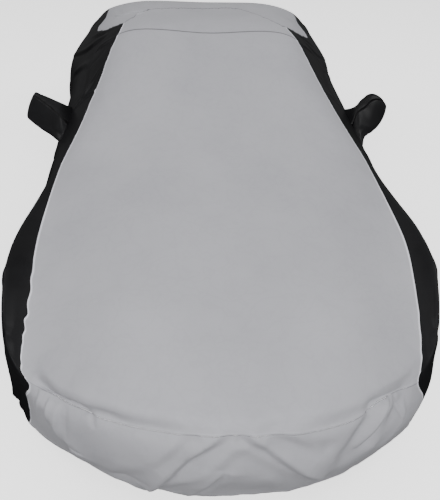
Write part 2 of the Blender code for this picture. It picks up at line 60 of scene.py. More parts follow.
Section = namedtuple(
    "Section", "nose crown_z sweep rib_x rib_z belt_x belt_z side_x side_z hem_x hem_z lean"
)
SECTIONS = {
    "hem_front": (0.075, 0.17, 0.495, 0.39, 0.18, 0.66, 0.225, 0.885, 0.18, 0.935, 0.19, 0.02),
    "skirt_mid": (0.0, 0.415, 0.58, 0.43, 0.415, 0.755, 0.39, 0.875, 0.4, 0.94, 0.2, 0.024),
    "skirt_top": (0.035, 0.635, 0.56, 0.445, 0.625, 0.765, 0.535, 0.895, 0.53, 0.95, 0.2, 0.006),
    "bonnet_lip": (0.145, 0.7, 0.475, 0.45, 0.685, 0.8, 0.59, 0.92, 0.64, 0.955, 0.2, 0.0),
    "bonnet_front": (0.475, 0.775, 0.335, 0.455, 0.76, 0.82, 0.67, 0.975, 0.71, 0.965, 0.2, 0.01),
    "bonnet_mid": (0.97, 0.845, 0.2, 0.445, 0.835, 0.815, 0.73, 1.0, 0.7, 0.975, 0.2, 0.022),
    "cowl": (1.515, 0.925, 0.19, 0.45, 0.91, 0.81, 0.815, 0.94, 0.675, 0.935, 0.2, 0.022),
    "screen_low": (1.885, 1.005, 0.195, 0.48, 0.985, 0.755, 0.91, 0.95, 0.675, 0.94, 0.2, 0.018),
    "screen_high": (2.285, 1.13, 0.185, 0.49, 1.115, 0.775, 0.95, 0.94, 0.7, 0.935, 0.2, 0.01),
    "header": (2.585, 1.21, 0.175, 0.5, 1.203, 0.795, 0.975, 0.935, 0.705, 0.93, 0.2, 0.002),
    "roof_front": (2.805, 1.233, 0.18, 0.5, 1.221, 0.805, 0.98, 0.955, 0.715, 0.945, 0.2, -0.008),
    "roof_crest": (3.125, 1.217, 0.22, 0.51, 1.2, 0.82, 0.985, 0.99, 0.73, 0.965, 0.2, -0.006),
    "roof_rear": (3.54, 1.167, 0.26, 0.51, 1.147, 0.8, 1.0, 0.955, 0.7, 0.935, 0.2, 0.01),
    "rear_screen": (3.965, 1.03, 0.17, 0.5, 1.0, 0.785, 0.945, 0.92, 0.68, 0.91, 0.2, 0.015),
    "tail_edge": (4.33, 0.88, -0.02, 0.5, 0.865, 0.765, 0.81, 0.91, 0.69, 0.91, 0.2, 0.005),
    "tail": (4.5, 0.74, -0.16, 0.48, 0.735, 0.72, 0.7, 0.86, 0.62, 0.895, 0.2, 0.002),
    "hem_rear": (4.48, 0.22, -0.11, 0.4, 0.22, 0.64, 0.215, 0.8, 0.21, 0.87, 0.2, 0.0),
}
HEADER_SEAM = 9.2
SPIKE = 9.95
LOBE_LOW = 11.08
HEM_REACH = 4.0
LAST = len(SECTIONS) - 1

# The seam between grey and black: station, reach on the left, reach on the right.
SEAM_TO_SPIKE = np.array([
    (0.0, 2.95, 2.6), (1.0, 2.7, 2.36), (2.0, 2.2, 2.08), (3.0, 2.16, 2.06),
    (4.1, 2.13, 2.14), (5.0, 2.28, 2.3), (5.5, 2.28, 2.28), (6.5, 2.12, 2.15),
    (7.0, 2.03, 2.04), (7.4, 1.87, 1.87), (7.8, 1.64, 1.66), (8.3, 1.46, 1.46),
    (HEADER_SEAM, 1.19, 1.23), (SPIKE, 1.09, 1.12),
])
SEAM_FROM_SPIKE = np.array([
    (SPIKE, 1.09, 1.12), (10.12, 1.37, 1.38), (10.5, 1.57, 1.61), (LOBE_LOW, 1.76, 1.83),
    (11.35, 1.62, 1.62), (11.8, 1.66, 1.65), (12.6, 1.83, 1.83), (13.5, 2.0, 2.0),
    (16.0, 2.1, 2.1),
])
# The seam wanders a little where the cloth is slack: waves of "size" in reach.
SeamWave = namedtuple("SeamWave", "side middle spread waves size")
SEAM_WAVES = named_rows(SeamWave, [
    (-1, 4.0, 0.5, 1.55, 0.02),
    (-1, 3.7, 0.62, 2.7, 0.01),
    (-1, 2.7, 0.5, 1.3, 0.014),
    (1, 3.3, 0.7, 1.7, 0.008),
    (1, 8.8, 0.7, 2.1, 0.006),
    (-1, 8.6, 0.8, 1.9, 0.006),
])
# Seams across the cover: share of the way out, station on the left, on the right.
SKIRT_SEAM = np.array([
    (0.0, 2.0, 2.0), (0.58, 1.96, 1.98), (0.65, 2.03, 2.12), (0.74, 2.12, 2.23),
    (0.88, 2.37, 2.19), (1.0, 2.46, 2.08),
])
SKIRT_SEAM_MIDDLE = 2.0
SKIRT_SEAM_FADE = 4.0
ARCH = np.array([
    (0.0, 11.22, 11.22), (0.45, 11.05, 11.1), (0.7, 10.75, 10.4), (0.85, 10.28, 10.05),
    (1.0, SPIKE, SPIKE),
])
LOBE_STATIONS = [SPIKE, 10.03, 10.14, 10.34, 10.58, 10.84, LOBE_LOW]
ARCH_SHARE = 0.625
BLEND_SHARE = 0.35
# Where rows of a side panel meet the hem: station, distance behind the nose. Between
# the two ends the rows hang straight.
HEM_SPREAD = [
    (0.0, 0.572), (2.0, 0.7), (3.0, 0.77), (4.0, 0.88),
    (13.0, 4.08), (14.0, 4.2), (15.0, 4.29), (16.0, 4.368),
]
HEM_SPREAD_ENDS = (5.0, 12.0)
HEM_SEARCH_STEPS = 1600

# Folds and creases are lines over the cloth. A row gives the station and reach of each
# of its places, then its spread and rise in millimetres, and how it leans.
Line = namedtuple("Line", "places spread rise lean")


def lines(rows):
    """The lines of a table, with spread and rise in metres."""
    return [
        Line(np.reshape(row[:-3], (-1, 2)), row[-3] / 1000, row[-2] / 1000, row[-1])
        for row in rows
    ]


# Main folds, as in the model: soft ridges, or troughs where the rise is negative.
FOLDS = lines([
    (1.7, -0.05, 0.25, -0.78, 35, 16, 0),  # skirt ridge left
    (1.4, -0.45, 0.35, -1.1, 45, -10, 0),  # skirt trough left
    (1.1, -0.08, 0.15, -0.3, 30, 8, 0),  # skirt ridge middle
    (1.7, 0.08, 0.6, 0.72, 35, 16, 0),  # skirt ridge right
    (1.75, 0.25, 1.45, 0.7, 40, -12, 0),  # skirt trough right
    (1.9, 1.7, 0.95, 0.95, 45, -14, 0),  # corner trough right
    (1.85, 1.45, 1.05, 1.25, 35, 10, 0),  # corner ridge right
    (1.75, -1.85, 0.6, -1.55, 45, 10, 0),  # corner ridge left
    (5.9, -2.75, 4.6, -3.3, 50, -8, 0),  # fender fold left
    (8.1, -2.1, 9.4, -1.9, 45, -10, 0),  # cabin fold left
    (8.1, 2.1, 9.5, 1.95, 45, -10, 0),  # cabin fold right
])
FOLD_STEPS = 8
FOLD_MARGIN = 4

# Finer creases. Each runs through three places and fades at both ends.
# It leans 0 when it is even, 1 where the steep side lies to the right of its run and -1
# to the left, 2 where the cloth steps down to the right of the run and -2 to the left.
CREASES = lines([
    # skirt, from its middle outward
    (2.06, -0.05, 1.2, -0.48, -0.2, -0.92, 20, 45, -2),
    (1.2, -0.14, 0.8, -0.24, -0.1, -0.46, 15, 26, -2),
    (2.04, -0.32, 1.7, -0.48, 1.1, -0.74, 20, 18, -2),
    (2.06, 0.01, 1.57, 0.24, 0.5, 0.78, 19, 44, 2),
    (2.04, 0.26, 1.8, 0.41, 1.3, 0.68, 20, 18, 2),
    (0.8, -0.25, 0.35, 0.05, 0.4, 0.5, 120, -10, 0),
    (1.0, 0.2, 0.55, 0.34, 0.1, 0.36, 22, 5, 0),
    # the seam of the skirt is drawn in under the lip of the bonnet
    (2.55, -2.2, 2.18, -1.45, 2.03, -0.95, 40, -16, 0),
    (2.14, -1.3, 2.0, -0.7, 1.98, -0.2, 42, -14, 0),
    (1.98, 0.5, 2.0, 1.0, 2.16, 1.5, 36, -10, 0),
    (1.05, -0.95, 0.7, -1.15, 0.3, -1.3, 35, 5, 0),
    # the foot of the left corner stands out
    (0.0, -2.8, 0.03, -3.8, 2.8, -4.0, 46, 16, 0),
    (0.57, -1.8, 0.7, -1.67, 0.7, -1.5, 12, 6, -1),
    (0.45, -0.8, 0.35, -1.05, 0.3, -1.35, 20, -4, 0),
    # the left corner: soft folds that hang from the seam, and the fold of the lip
    (2.35, -1.92, 1.63, -2.05, 0.4, -2.5, 14, 11, 1),
    (2.15, -1.78, 1.7, -1.84, 1.2, -1.92, 14, 10, 1),
    (2.02, -1.66, 1.57, -1.71, 0.9, -1.76, 18, 11, -1),
    (2.0, -1.56, 1.6, -1.6, 1.0, -1.64, 15, -8, 0),
    (2.9, -1.9, 2.55, -1.69, 2.2, -1.44, 24, -18, 0),
    (3.15, -1.9, 2.7, -1.58, 2.28, -1.24, 26, 24, 2),
    (2.56, -1.48, 2.34, -1.16, 2.18, -0.8, 30, 19, 2),
    (2.34, -1.04, 2.22, -0.7, 2.16, -0.3, 38, 9, 2),
    (2.08, -1.34, 1.92, -1.27, 1.66, -1.23, 13, -10, 0),
    (2.4, -1.5, 2.16, -1.4, 1.96, -1.3, 16, -10, 0),
    # the right corner
    (2.8, 1.88, 2.3, 1.32, 1.94, 1.14, 30, -24, 0),
    (1.98, 1.2, 1.55, 1.1, 1.05, 0.86, 34, -22, 0),
    (2.15, 1.47, 1.73, 1.33, 1.1, 1.06, 20, 18, -1),
    (2.18, 1.56, 1.73, 1.62, 1.25, 1.71, 12, -11, 0),
    (1.9, 1.75, 1.3, 1.7, 0.7, 1.45, 20, 6, -1),
    (3.05, 2.04, 2.66, 1.66, 2.36, 1.24, 28, 20, -2),
    (2.03, 0.14, 2.17, 0.33, 2.44, 0.58, 28, -10, 0),
    # bonnet and windscreen, very faint
    (7.8, -1.6, 7.4, -1.45, 7.0, -1.32, 30, 3, 0),
    (7.45, -0.27, 6.9, -0.15, 6.2, -0.05, 45, 3, 0),
    (6.6, 0.9, 6.2, 0.7, 5.7, 0.55, 50, -3, 0),
    (5.3, -1.8, 4.6, -1.6, 3.9, -1.5, 55, -3, 0),
    (5.3, 1.85, 4.5, 1.62, 3.8, 1.55, 55, -3, 0),
    (8.9, 0.2, 8.3, 0.1, 7.6, 0.15, 60, 3, 0),
    # black cloth under the left lobe, behind and above the mirror
    (7.5, -2.36, 7.64, -2.0, 7.62, -1.62, 13, 11, 1),
    (7.66, -2.34, 7.86, -2.0, 8.02, -1.62, 12, 5, 0),
    (7.66, -2.15, 7.9, -1.85, 8.3, -1.52, 16, 10, 1),
    (10.95, -2.75, 10.07, -1.88, 9.72, -1.42, 22, 14, 1),
    (10.65, -2.12, 10.37, -1.72, 10.03, -1.42, 14, -7, 0),
    (10.8, -1.95, 10.37, -1.62, 9.86, -1.3, 15, 9, 1),
    (9.2, -1.7, 9.13, -1.45, 9.08, -1.24, 16, 9, 1),
    (8.7, -1.95, 8.75, -1.65, 8.85, -1.42, 16, -5, 0),
    (9.6, -2.6, 9.2, -2.2, 8.9, -1.9, 30, 13, 1),
    # the same place on the right
    (7.55, 2.36, 7.72, 2.0, 7.74, 1.7, 11, 6, -1),
    (7.72, 2.3, 7.98, 1.96, 8.3, 1.58, 13, 5, 0),
    (10.9, 2.7, 10.12, 1.92, 9.74, 1.44, 17, 7, -1),
    (10.72, 2.05, 10.36, 1.7, 9.88, 1.34, 13, 6, -1),
    (9.22, 1.75, 9.1, 1.48, 9.04, 1.28, 14, 6, -1),
    (9.55, 2.62, 9.25, 2.24, 8.95, 1.92, 22, 6, -1),
    # wings and doors
    (5.65, -2.36, 5.33, -2.5, 4.95, -2.62, 40, -4, 0),
    (6.6, -2.6, 6.2, -2.85, 5.7, -3.1, 20, 6, 1),
    (6.9, -2.9, 6.5, -3.3, 6.1, -3.7, 24, 7, 1),
    (7.6, -3.0, 7.7, -3.4, 7.75, -3.85, 24, 6, 0),
    (4.6, -2.4, 4.2, -2.8, 3.9, -3.3, 30, 6, 0),
    (3.4, -2.3, 3.1, -2.7, 2.8, -3.3, 28, -6, 0),
    (5.7, 2.4, 5.3, 2.55, 4.9, 2.7, 40, 3, 0),
    (6.6, 2.62, 6.15, 2.9, 5.7, 3.2, 20, 6, -1),
    (6.95, 2.95, 6.6, 3.3, 6.2, 3.75, 24, 7, -1),
    (7.65, 3.05, 7.8, 3.45, 7.85, 3.85, 24, 6, 0),
    (4.7, 2.45, 4.2, 2.85, 3.9, 3.35, 30, 6, 0),
    (3.4, 2.3, 3.0, 2.75, 2.7, 3.3, 28, -6, 0),
    (9.9, -2.7, 10.1, -3.2, 10.2, -3.8, 30, 7, 0),
    (9.9, 2.75, 10.05, 3.2, 10.15, 3.8, 30, 7, 0),
    (11.8, -1.9, 12.0, -2.5, 12.05, -3.2, 26, 7, 1),
    (11.8, 1.9, 12.05, 2.5, 12.1, 3.2, 26, 7, -1),
    (13.2, -2.2, 13.3, -2.8, 13.5, -3.5, 26, -7, 0),
    (13.1, 2.25, 13.35, 2.85, 13.6, 3.5, 26, -7, 0),
    # roof, beside the arched seam
    (11.15, -1.36, 10.72, -1.1, 10.86, -0.66, 15, 11, 1),
    (10.3, -0.92, 10.48, -0.84, 10.62, -0.76, 12, 9, 0),
    (11.5, -1.32, 11.25, -1.24, 10.95, -1.16, 13, -10, 0),
    (10.9, 1.12, 11.08, 1.28, 11.25, 1.46, 14, 10, -1),
    (10.74, 0.84, 10.8, 0.94, 10.76, 1.04, 12, 8, 0),
    (10.45, -1.52, 10.6, -1.32, 10.95, -1.2, 12, 5, 0),
    (10.5, 1.55, 10.7, 1.36, 11.0, 1.22, 12, 5, 0),
    # rear, finished plainly: the cloth falls from the tail's edge in soft folds
    (12.2, -0.9, 12.9, -0.6, 13.7, -0.5, 40, 6, 0),
    (12.1, 0.95, 12.9, 0.7, 13.7, 0.45, 40, 6, 0),
    (14.3, -0.6, 15.0, -0.75, 15.8, -0.95, 26, 9, 1),
    (14.3, 0.55, 15.0, 0.72, 15.8, 0.92, 26, 9, -1),
    (14.5, -0.1, 15.1, -0.18, 15.8, -0.25, 24, 7, 0),
    (14.4, 1.3, 15.0, 1.45, 15.8, 1.7, 26, 8, -1),
    (14.4, -1.35, 15.0, -1.5, 15.8, -1.72, 26, 8, 1),
])
CREASE_STEPS = 12
CREASE_MARGIN = 5
STEP_MARGIN = 10
CREASE_FADE = 0.6
CREASE_WANDER = 0.12
WANDER_TURNS = 9
# A leaning crease: its steep and its slack side, and the dip beside it.
STEEP_SHARE = 0.35
SLACK_SHARE = 1.5
DIP_WIDTH = 0.6
DIP_DEPTH = 0.35
# A step: its straight and its rounded part, and how far it fades away.
STRAIGHT_PART = 0.7
ROUNDED_PART = 0.3
STEP_FADE = 4.5

# Mirror pockets: a root ring on the side panel, then rounded four-sided loops. Their
# corners are the front top, rear top, rear low and front low one: station and reach on
# the root, and on a ring x outward, behind the nose and above the ground. A ring ends
# with its roundness.
POCKET_ROOT = {
    "left": [(7.22, 2.46), (7.7, 2.44), (7.62, 2.86), (6.88, 2.7)],
    "right": [(7.3, 2.5), (7.72, 2.42), (7.62, 2.9), (6.84, 2.72)],
}
POCKET_RINGS = {
    "left": [
        ((0.88, 2.11, 0.874), (0.885, 2.272, 0.886), (0.925, 2.27, 0.765), (0.925, 2.045, 0.768), 0.25),
        ((0.97, 2.215, 0.9), (0.975, 2.305, 0.912), (1.025, 2.29, 0.768), (1.02, 2.16, 0.768), 0.25),
        ((1.064, 2.3, 0.928), (1.068, 2.345, 0.932), (1.13, 2.325, 0.792), (1.124, 2.268, 0.79), 0.3),
    ],
    "right": [
        ((0.905, 2.165, 0.875), (0.905, 2.27, 0.888), (0.95, 2.265, 0.772), (0.95, 2.05, 0.768), 0.5),
        ((0.985, 2.245, 0.909), (0.985, 2.345, 0.914), (1.035, 2.32, 0.77), (1.034, 2.15, 0.772), 0.7),
        ((1.068, 2.312, 0.936), (1.074, 2.38, 0.93), (1.12, 2.35, 0.79), (1.114, 2.255, 0.794), 0.9),
        ((1.136, 2.335, 0.903), (1.138, 2.365, 0.895), (1.152, 2.35, 0.828), (1.15, 2.31, 0.832), 1.0),
    ],
}
ROOT_ROUNDNESS = 0.4
OVAL_FULLNESS = 0.9
POCKET_NECK = 0.012
POCKET_STAND = 0.002
POCKET_TIP = 0.013
POCKET_SIDE_STEPS = 14
POCKET_ROWS = 52
POCKET_END_ROW = 34
POCKET_END_SOFTNESS = {"left": 6, "right": 40}
POCKET_END_SPAN = 4
POCKET_DOME_ANGLES = (18, 36, 52, 66, 78)
HOLE_CUTTER_REACH = 0.022

# Unevenness of the cloth on the car and on the pockets.
Noise = namedtuple("Noise", "size height seed")
CAR_NOISE = named_rows(Noise, [(0.34, 0.0016, 11), (0.13, 0.0006, 12)])
POCKET_NOISE = named_rows(Noise, [(0.045, 0.0009, 41), (0.018, 0.0003, 42)])
NOISE_CELLS = 32
NOISE_SHIFT = 100.0

# Soft upright folds at the sides, front and rear. Each grows over a span of reach and
# one of y, for the sides, or of station. "slant" leans its waves, which run along "axis".
Drape = namedtuple("Drape", "axis slant reaches span waves")
Wave = namedtuple("Wave", "height length seed")
DRAPES = named_rows(Drape, [
    (1, 0.25, (2.7, 4.0), (-2.42, -2.1), [Wave(0.005, 0.21, 21), Wave(0.0018, 0.075, 22)]),
    (0, 0.15, (2.9, 1.2), (1.1, 0.0), [Wave(0.0016, 0.19, 23), Wave(0.0003, 0.07, 24)]),
    (0, 0.15, (2.9, 1.6), (14.4, 16.0), [Wave(0.005, 0.19, 25), Wave(0.0018, 0.07, 26)]),
])
RIPPLE_PARTS = (1.0, 0.63, 0.41, 1.7)
RIPPLE_LEVEL = 2.4


# ---- the surface

def hermite(share, gap, start, start_slope, end, end_slope):
    """The smooth way between two values, at a share of the gap between them."""
    return (
        (1 + 2 * share) * (1 - share) ** 2 * start
        + share * (1 - share) ** 2 * gap * start_slope
        + share ** 2 * (3 - 2 * share) * end
        + share ** 2 * (share - 1) * gap * end_slope
    )


def spline(places, knots, values):
    """Smooth curve through the values, which are one row for each knot."""
    knots = np.asarray(knots, float)
    values = np.asarray(values, float).reshape(len(knots), -1)
    gaps = np.diff(knots)[:, None]
    chords = np.diff(values, axis=0) / gaps
    inner = (chords[:-1] * gaps[1:] + chords[1:] * gaps[:-1]) / (gaps[1:] + gaps[:-1])
    slopes = np.concatenate([chords[:1], inner, chords[-1:]])
    places = np.atleast_1d(np.asarray(places, float))
    left = np.clip(np.searchsorted(knots, places, side="right") - 1, 0, len(knots) - 2)
    gap = gaps[left]
    share = (places - knots[left])[:, None] / gap
    return hermite(share, gap, values[left], slopes[left], values[left + 1], slopes[left + 1])


def spline_each(places, values):
    """As spline, with knots 0, 1, 2 and so on, and values of its own for each place."""
    chords = np.diff(values, axis=1)
    inner = (chords[:, :-1] + chords[:, 1:]) / 2
    slopes = np.concatenate([chords[:, :1], inner, chords[:, -1:]], axis=1)
    left = np.clip(np.floor(places).astype(int), 0, values.shape[1] - 2)
    share = (places - left)[:, None]
    each = np.arange(len(places))
    return hermite(share, 1, values[each, left], slopes[each, left],
                   values[each, left + 1], slopes[each, left + 1])


def unit(vectors):
    return vectors / np.maximum(np.linalg.norm(vectors, axis=-1, keepdims=True), 1e-12)


def smooth_step(low, high, value):
    share = np.clip((value - low) / (high - low), 0, 1)
    return share * share * (3 - 2 * share)


def bell(distance, width):
    """One at no distance, fading smoothly over the width."""
    return np.exp(-(distance / width) ** 2)


SECTION_VALUES = np.array(list(SECTIONS.values()))
SWEEP_MARGIN = 1.03
SWEEP_FULL = 1 - math.sqrt(1 - 1 / SWEEP_MARGIN ** 2)


def smooth_places(stations, reaches):
    """The loft without folds, in the part's own frame, for arrays of any shape."""
    stations, reaches = np.broadcast_arrays(
        np.asarray(stations, float), np.asarray(reaches, float)
    )
    shape = stations.shape
    reach = reaches.ravel()
    columns = spline(stations.ravel(), range(len(SECTIONS)), SECTION_VALUES).T
    row = Section(*columns)
    across = [-row.rib_x, 0 * row.rib_x, row.rib_x, row.belt_x, row.side_x, row.hem_x]
    heights = [row.rib_z, row.crown_z, row.rib_z, row.belt_z, row.side_z, row.hem_z]
    x, z = spline_each(np.abs(reach) + 1, np.array([across, heights]).transpose(2, 1, 0)).T
    widest = SWEEP_MARGIN * np.maximum(row.side_x, row.hem_x)
    back = (1 - np.sqrt(np.maximum(0, 1 - (x / widest) ** 2))) / SWEEP_FULL
    side = np.where(reach < 0, -1, 1)
    places = np.stack(
        [side * x + row.lean, row.nose + row.sweep * back - ORIGIN_BEHIND_NOSE, z + GROUND], axis=1
    )
    return places.reshape(shape + (3,))


SLOPE_STEP = 0.01


def outward(stations, reaches):
    """Unit normals of the loft, pointing out of the cover."""
    before = np.maximum(stations - SLOPE_STEP, 0)
    after = np.minimum(stations + SLOPE_STEP, LAST)
    along = smooth_places(after, reaches) - smooth_places(before, reaches)
    middle = np.clip(reaches, SLOPE_STEP - HEM_REACH, HEM_REACH - SLOPE_STEP)
    right = smooth_places(stations, middle + SLOPE_STEP)
    across = right - smooth_places(stations, middle - SLOPE_STEP)
    return unit(np.cross(across, along))


def line_distance(points, line):
    """Distance to a line of points, the share along it, and the vector from it."""
    starts, runs = line[:-1], np.diff(line, axis=0)
    best = np.full(len(points), np.inf)
    share_there = np.zeros(len(points))
    offset_there = np.zeros((len(points), 3))
    run_there = np.zeros((len(points), 3))
    for index, (start, run) in enumerate(zip(starts, runs)):
        share = np.clip((points - start) @ run / (run @ run), 0, 1)
        offset = points - start - share[:, None] * run
        distance = np.linalg.norm(offset, axis=1)
        near = distance < best
        best[near] = distance[near]
        share_there[near] = (index + share[near]) / len(runs)
        offset_there[near] = offset[near]
        run_there[near] = run
    return best, share_there, offset_there, run_there


def near_line(points, line, margin):
    """Indices of the points in the line's box, widened by the margin."""
    low, high = line.min(axis=0) - margin, line.max(axis=0) + margin
    return np.flatnonzero(np.all((points > low) & (points < high), axis=1))


def fold_rise(points):
    """How far the main folds lift the cloth."""
    total = np.zeros(len(points))
    for fold in FOLDS:
        start, end = fold.places
        way = start + np.linspace(0, 1, FOLD_STEPS + 1)[:, None] * (end - start)
        line = smooth_places(*way.T)
        near = near_line(points, line, FOLD_MARGIN * fold.spread)
        total[near] += fold.rise * bell(line_distance(points[near], line)[0], fold.spread)
    return total


def crease_profile(distance, crease):
    """Height of a crease at a distance from its line, for a crest of one."""
    spread = crease.spread
    if abs(crease.lean) == 2:
        straight = np.clip(distance / spread, -1, 1) / 2
        rounded = smooth_step(-spread, spread, distance) - 0.5
        step = -STRAIGHT_PART * straight - ROUNDED_PART * rounded
        return step * bell(distance, STEP_FADE * spread)
    if crease.lean == 0:
        return bell(distance, spread)
    width = np.where(distance > 0, STEEP_SHARE, SLACK_SHARE) * spread
    return bell(distance, width) - DIP_DEPTH * bell(distance - spread, DIP_WIDTH * spread)


def crease_rise(points, normals):
    """How far the finer creases lift the cloth."""
    total = np.zeros(len(points))
    for number, crease in enumerate(CREASES):
        way = spline(np.linspace(0, 1, CREASE_STEPS + 1), [0, 0.5, 1], crease.places)
        line = smooth_places(*way.T)
        margin = STEP_MARGIN if abs(crease.lean) == 2 else CREASE_MARGIN
        near = near_line(points, line, margin * crease.spread)
        if not len(near):
            continue
        distance, share, offset, run = line_distance(points[near], line)
        right = np.sum(np.cross(run, normals[near]) * offset, axis=1)
        signed = np.sign(right) * distance
        signed += crease.spread * CREASE_WANDER * np.sin(share * WANDER_TURNS + number)
        body = crease_profile(signed * (np.sign(crease.lean) or 1), crease)
        fade = np.maximum(np.sin(np.pi * share), 0) ** CREASE_FADE
        total[near] += crease.rise * body * fade
    return total


def lattice_noise(points, size, seed):
    """Smooth noise between -1 and 1, with features of the given size."""
    table = np.random.default_rng(seed).uniform(-1, 1, (NOISE_CELLS,) * 3)
    place = points / size + NOISE_SHIFT
    low = np.floor(place).astype(int)
    share = place - low
    share = share * share * (3 - 2 * share)
    value = 0
    for corner in range(8):
        bits = np.array([corner & 1, corner >> 1 & 1, corner >> 2 & 1])
        weight = np.prod(np.where(bits, share, 1 - share), axis=1)
        index = (low + bits) % NOISE_CELLS
        value = value + weight * table[index[:, 0], index[:, 1], index[:, 2]]
    return value


def unevenness(points, parts):
    """How far the noises of a table lift the cloth."""
    return sum(part.height * lattice_noise(points, part.size, part.seed) for part in parts)


def ripple(place, length, seed):
    """Uneven waves along a line, between about -1 and 1."""
    random = np.random.default_rng(seed)
    value = 0
    for part in RIPPLE_PARTS:
        start = random.uniform(0, 2 * np.pi)
        value = value + np.sin(2 * np.pi * place / (length * part) + start)
    return value / RIPPLE_LEVEL


# ---- seams as lines

def seam_reach(stations, side):
    """Reach of the seam between grey and black. side is -1, 1 or an array of them."""
    stations, side = np.broadcast_arrays(np.asarray(stations, float), side)
    result = np.zeros(stations.shape)
    for table, chosen in (
        (SEAM_TO_SPIKE, stations <= SPIKE),
        (SEAM_FROM_SPIKE, stations > SPIKE),
    ):
        left, right = spline(stations[chosen], table[:, 0], table[:, 1:]).T
        result[chosen] = np.where(side[chosen] < 0, left, right)
    for wave in SEAM_WAVES:
        away = (stations - wave.middle) / wave.spread
        shift = wave.size * np.sin(2 * np.pi * wave.waves * away) * bell(away, 1)
        result += np.where(side == wave.side, shift, 0)
    return result


def seam_station(table, shares):
    """Station of a seam that crosses the cover, at shares from -1 to 1."""
    share, left, right = table.T
    knots = np.concatenate([-share[::-1], share[1:]])
    values = np.concatenate([left[::-1], right[1:]])
    return spline(np.ravel(shares), knots, values)[:, 0].reshape(np.shape(shares))


def side_of(shares):
    return np.where(shares < 0, -1, 1)


def hem_station(stations):
    """Station at which a row of a side panel meets the hem."""
    searched = np.linspace(0, LAST, HEM_SEARCH_STEPS + 1)
    noses = np.maximum.accumulate(smooth_places(searched, HEM_REACH)[:, 1]) + ORIGIN_BEHIND_NOSE
    ends = [(edge, np.interp(edge, searched, noses)) for edge in HEM_SPREAD_ENDS]
    knots, values = np.array(sorted(HEM_SPREAD + ends)).T
    spread_out = np.interp(np.interp(stations, knots, values), noses, searched)
    plain = (stations > HEM_SPREAD_ENDS[0]) & (stations < HEM_SPREAD_ENDS[1])
    return np.where(plain, stations, spread_out)


# ---- maps of the panels
# Each takes shares down (0 to 1) and across (0 to 1) and gives stations and reaches.

def skirt_map(down, across):
    share = 2 * across - 1
    station = down * seam_station(SKIRT_SEAM, share)
    return station, share * seam_reach(station, side_of(share))


def top_map(down, across):
    share = 2 * across - 1
    base = SKIRT_SEAM_MIDDLE + down * (HEADER_SEAM - SKIRT_SEAM_MIDDLE)
    fade = np.maximum(0, (SKIRT_SEAM_FADE - base) / (SKIRT_SEAM_FADE - SKIRT_SEAM_MIDDLE))
    station = base + (seam_station(SKIRT_SEAM, share) - SKIRT_SEAM_MIDDLE) * fade
    return station, share * seam_reach(station, side_of(share))


def band_map(down, across):
    share = 2 * across - 1
    edge_station = HEADER_SEAM + down * (SPIKE - HEADER_SEAM)
    reach = share * seam_reach(edge_station, side_of(share))
    return HEADER_SEAM + down * (seam_station(ARCH, share) - HEADER_SEAM), reach


def rear_map(down, across):
    share = 2 * across - 1
    side = side_of(share)
    out = np.abs(share)
    on_arch = np.minimum(out / ARCH_SHARE, 1) * side
    lobe_step = np.clip((out - ARCH_SHARE) / (1 - ARCH_SHARE), 0, 1) * (len(LOBE_STATIONS) - 1)
    lobe = np.interp(lobe_step, range(len(LOBE_STATIONS)), LOBE_STATIONS)
    front_station = np.where(out <= ARCH_SHARE, seam_station(ARCH, on_arch), lobe)
    front_reach = np.where(
        out <= ARCH_SHARE, on_arch * seam_reach(SPIKE, side), side * seam_reach(lobe, side)
    )
    station = LOBE_LOW + down * (LAST - LOBE_LOW)
    blend = smooth_step(0, 1, np.minimum(1, down / BLEND_SHARE))
    front_share = front_reach / seam_reach(LOBE_LOW, side)
    reach = seam_reach(station, side) * ((1 - blend) * front_share + blend * share)
    return front_station + (LAST - front_station) * down, reach


def side_map(side):
    def locate(down, across):
        station = down * LAST
        start = seam_reach(station, side)
        reach = start + (HEM_REACH - start) * across
        return station + (hem_station(station) - station) * across, side * reach

    return locate


# ---- relief of the cloth

def drape(points, stations, reaches):
    """Soft upright folds that grow towards the hem at the sides, front and rear."""
    total = 0
    for fold in DRAPES:
        measure = points[:, 1] if fold.axis == 1 else stations
        growth = smooth_step(*fold.reaches, np.abs(reaches)) * smooth_step(*fold.span, measure)
        place = points[:, fold.axis] + fold.slant * points[:, 2]
        total = total + growth * sum(
            wave.height * ripple(place, wave.length, wave.seed) for wave in fold.waves
        )
    return total


WELT_WIDTH = 0.009
WELT_HEIGHT = 0.0009
WELT_EDGE = 0.002
WELT_FOOT = (0.0006, 0.0022)
STITCH_DENT = 0.0004
STITCH_DENT_WIDTH = 0.0011
GROOVE_DEPTH = 0.001
GROOVE_WIDTH = 0.0016
HEM_WIDTH = 0.022
HEM_RISE = 0.0008
HEM_EDGE = 0.002
HEM_LINE_WIDTH = 0.0015
PUCKER_FOOT = 0.003
PUCKER_CALM = 0.5


def seam_band(distance):
    """The raised band of a seam, at a distance from the panel's edge."""
    top = smooth_step(WELT_WIDTH + WELT_EDGE, WELT_WIDTH, distance)
    return smooth_step(*WELT_FOOT, distance) * top


def welt(distance):
    """A felled seam: a raised band beside a fine groove."""
    stitch_line = bell(distance - 0.5 * WELT_WIDTH, STITCH_DENT_WIDTH)
    groove = bell(distance, GROOVE_WIDTH)
    return WELT_HEIGHT * seam_band(distance) - STITCH_DENT * stitch_line - GROOVE_DEPTH * groove


def plain_edge(distance):
    return -GROOVE_DEPTH * bell(distance, GROOVE_WIDTH)


def hem_fold(distance):
    """A turned hem: double cloth up to its stitch line."""
    band = smooth_step(HEM_WIDTH + HEM_EDGE, HEM_WIDTH, distance)
    line = bell(distance - HEM_WIDTH + HEM_EDGE, HEM_LINE_WIDTH)
    return HEM_RISE * band - HEM_RISE * line


def pucker(distance, along, edge):
    """Small gathers along a seam that fade away from it."""
    waves = ripple(along, edge.length, edge.seed)
    fade = np.exp(-distance / edge.depth)
    return edge.height * waves * fade * (1 - PUCKER_CALM * bell(distance, PUCKER_FOOT))
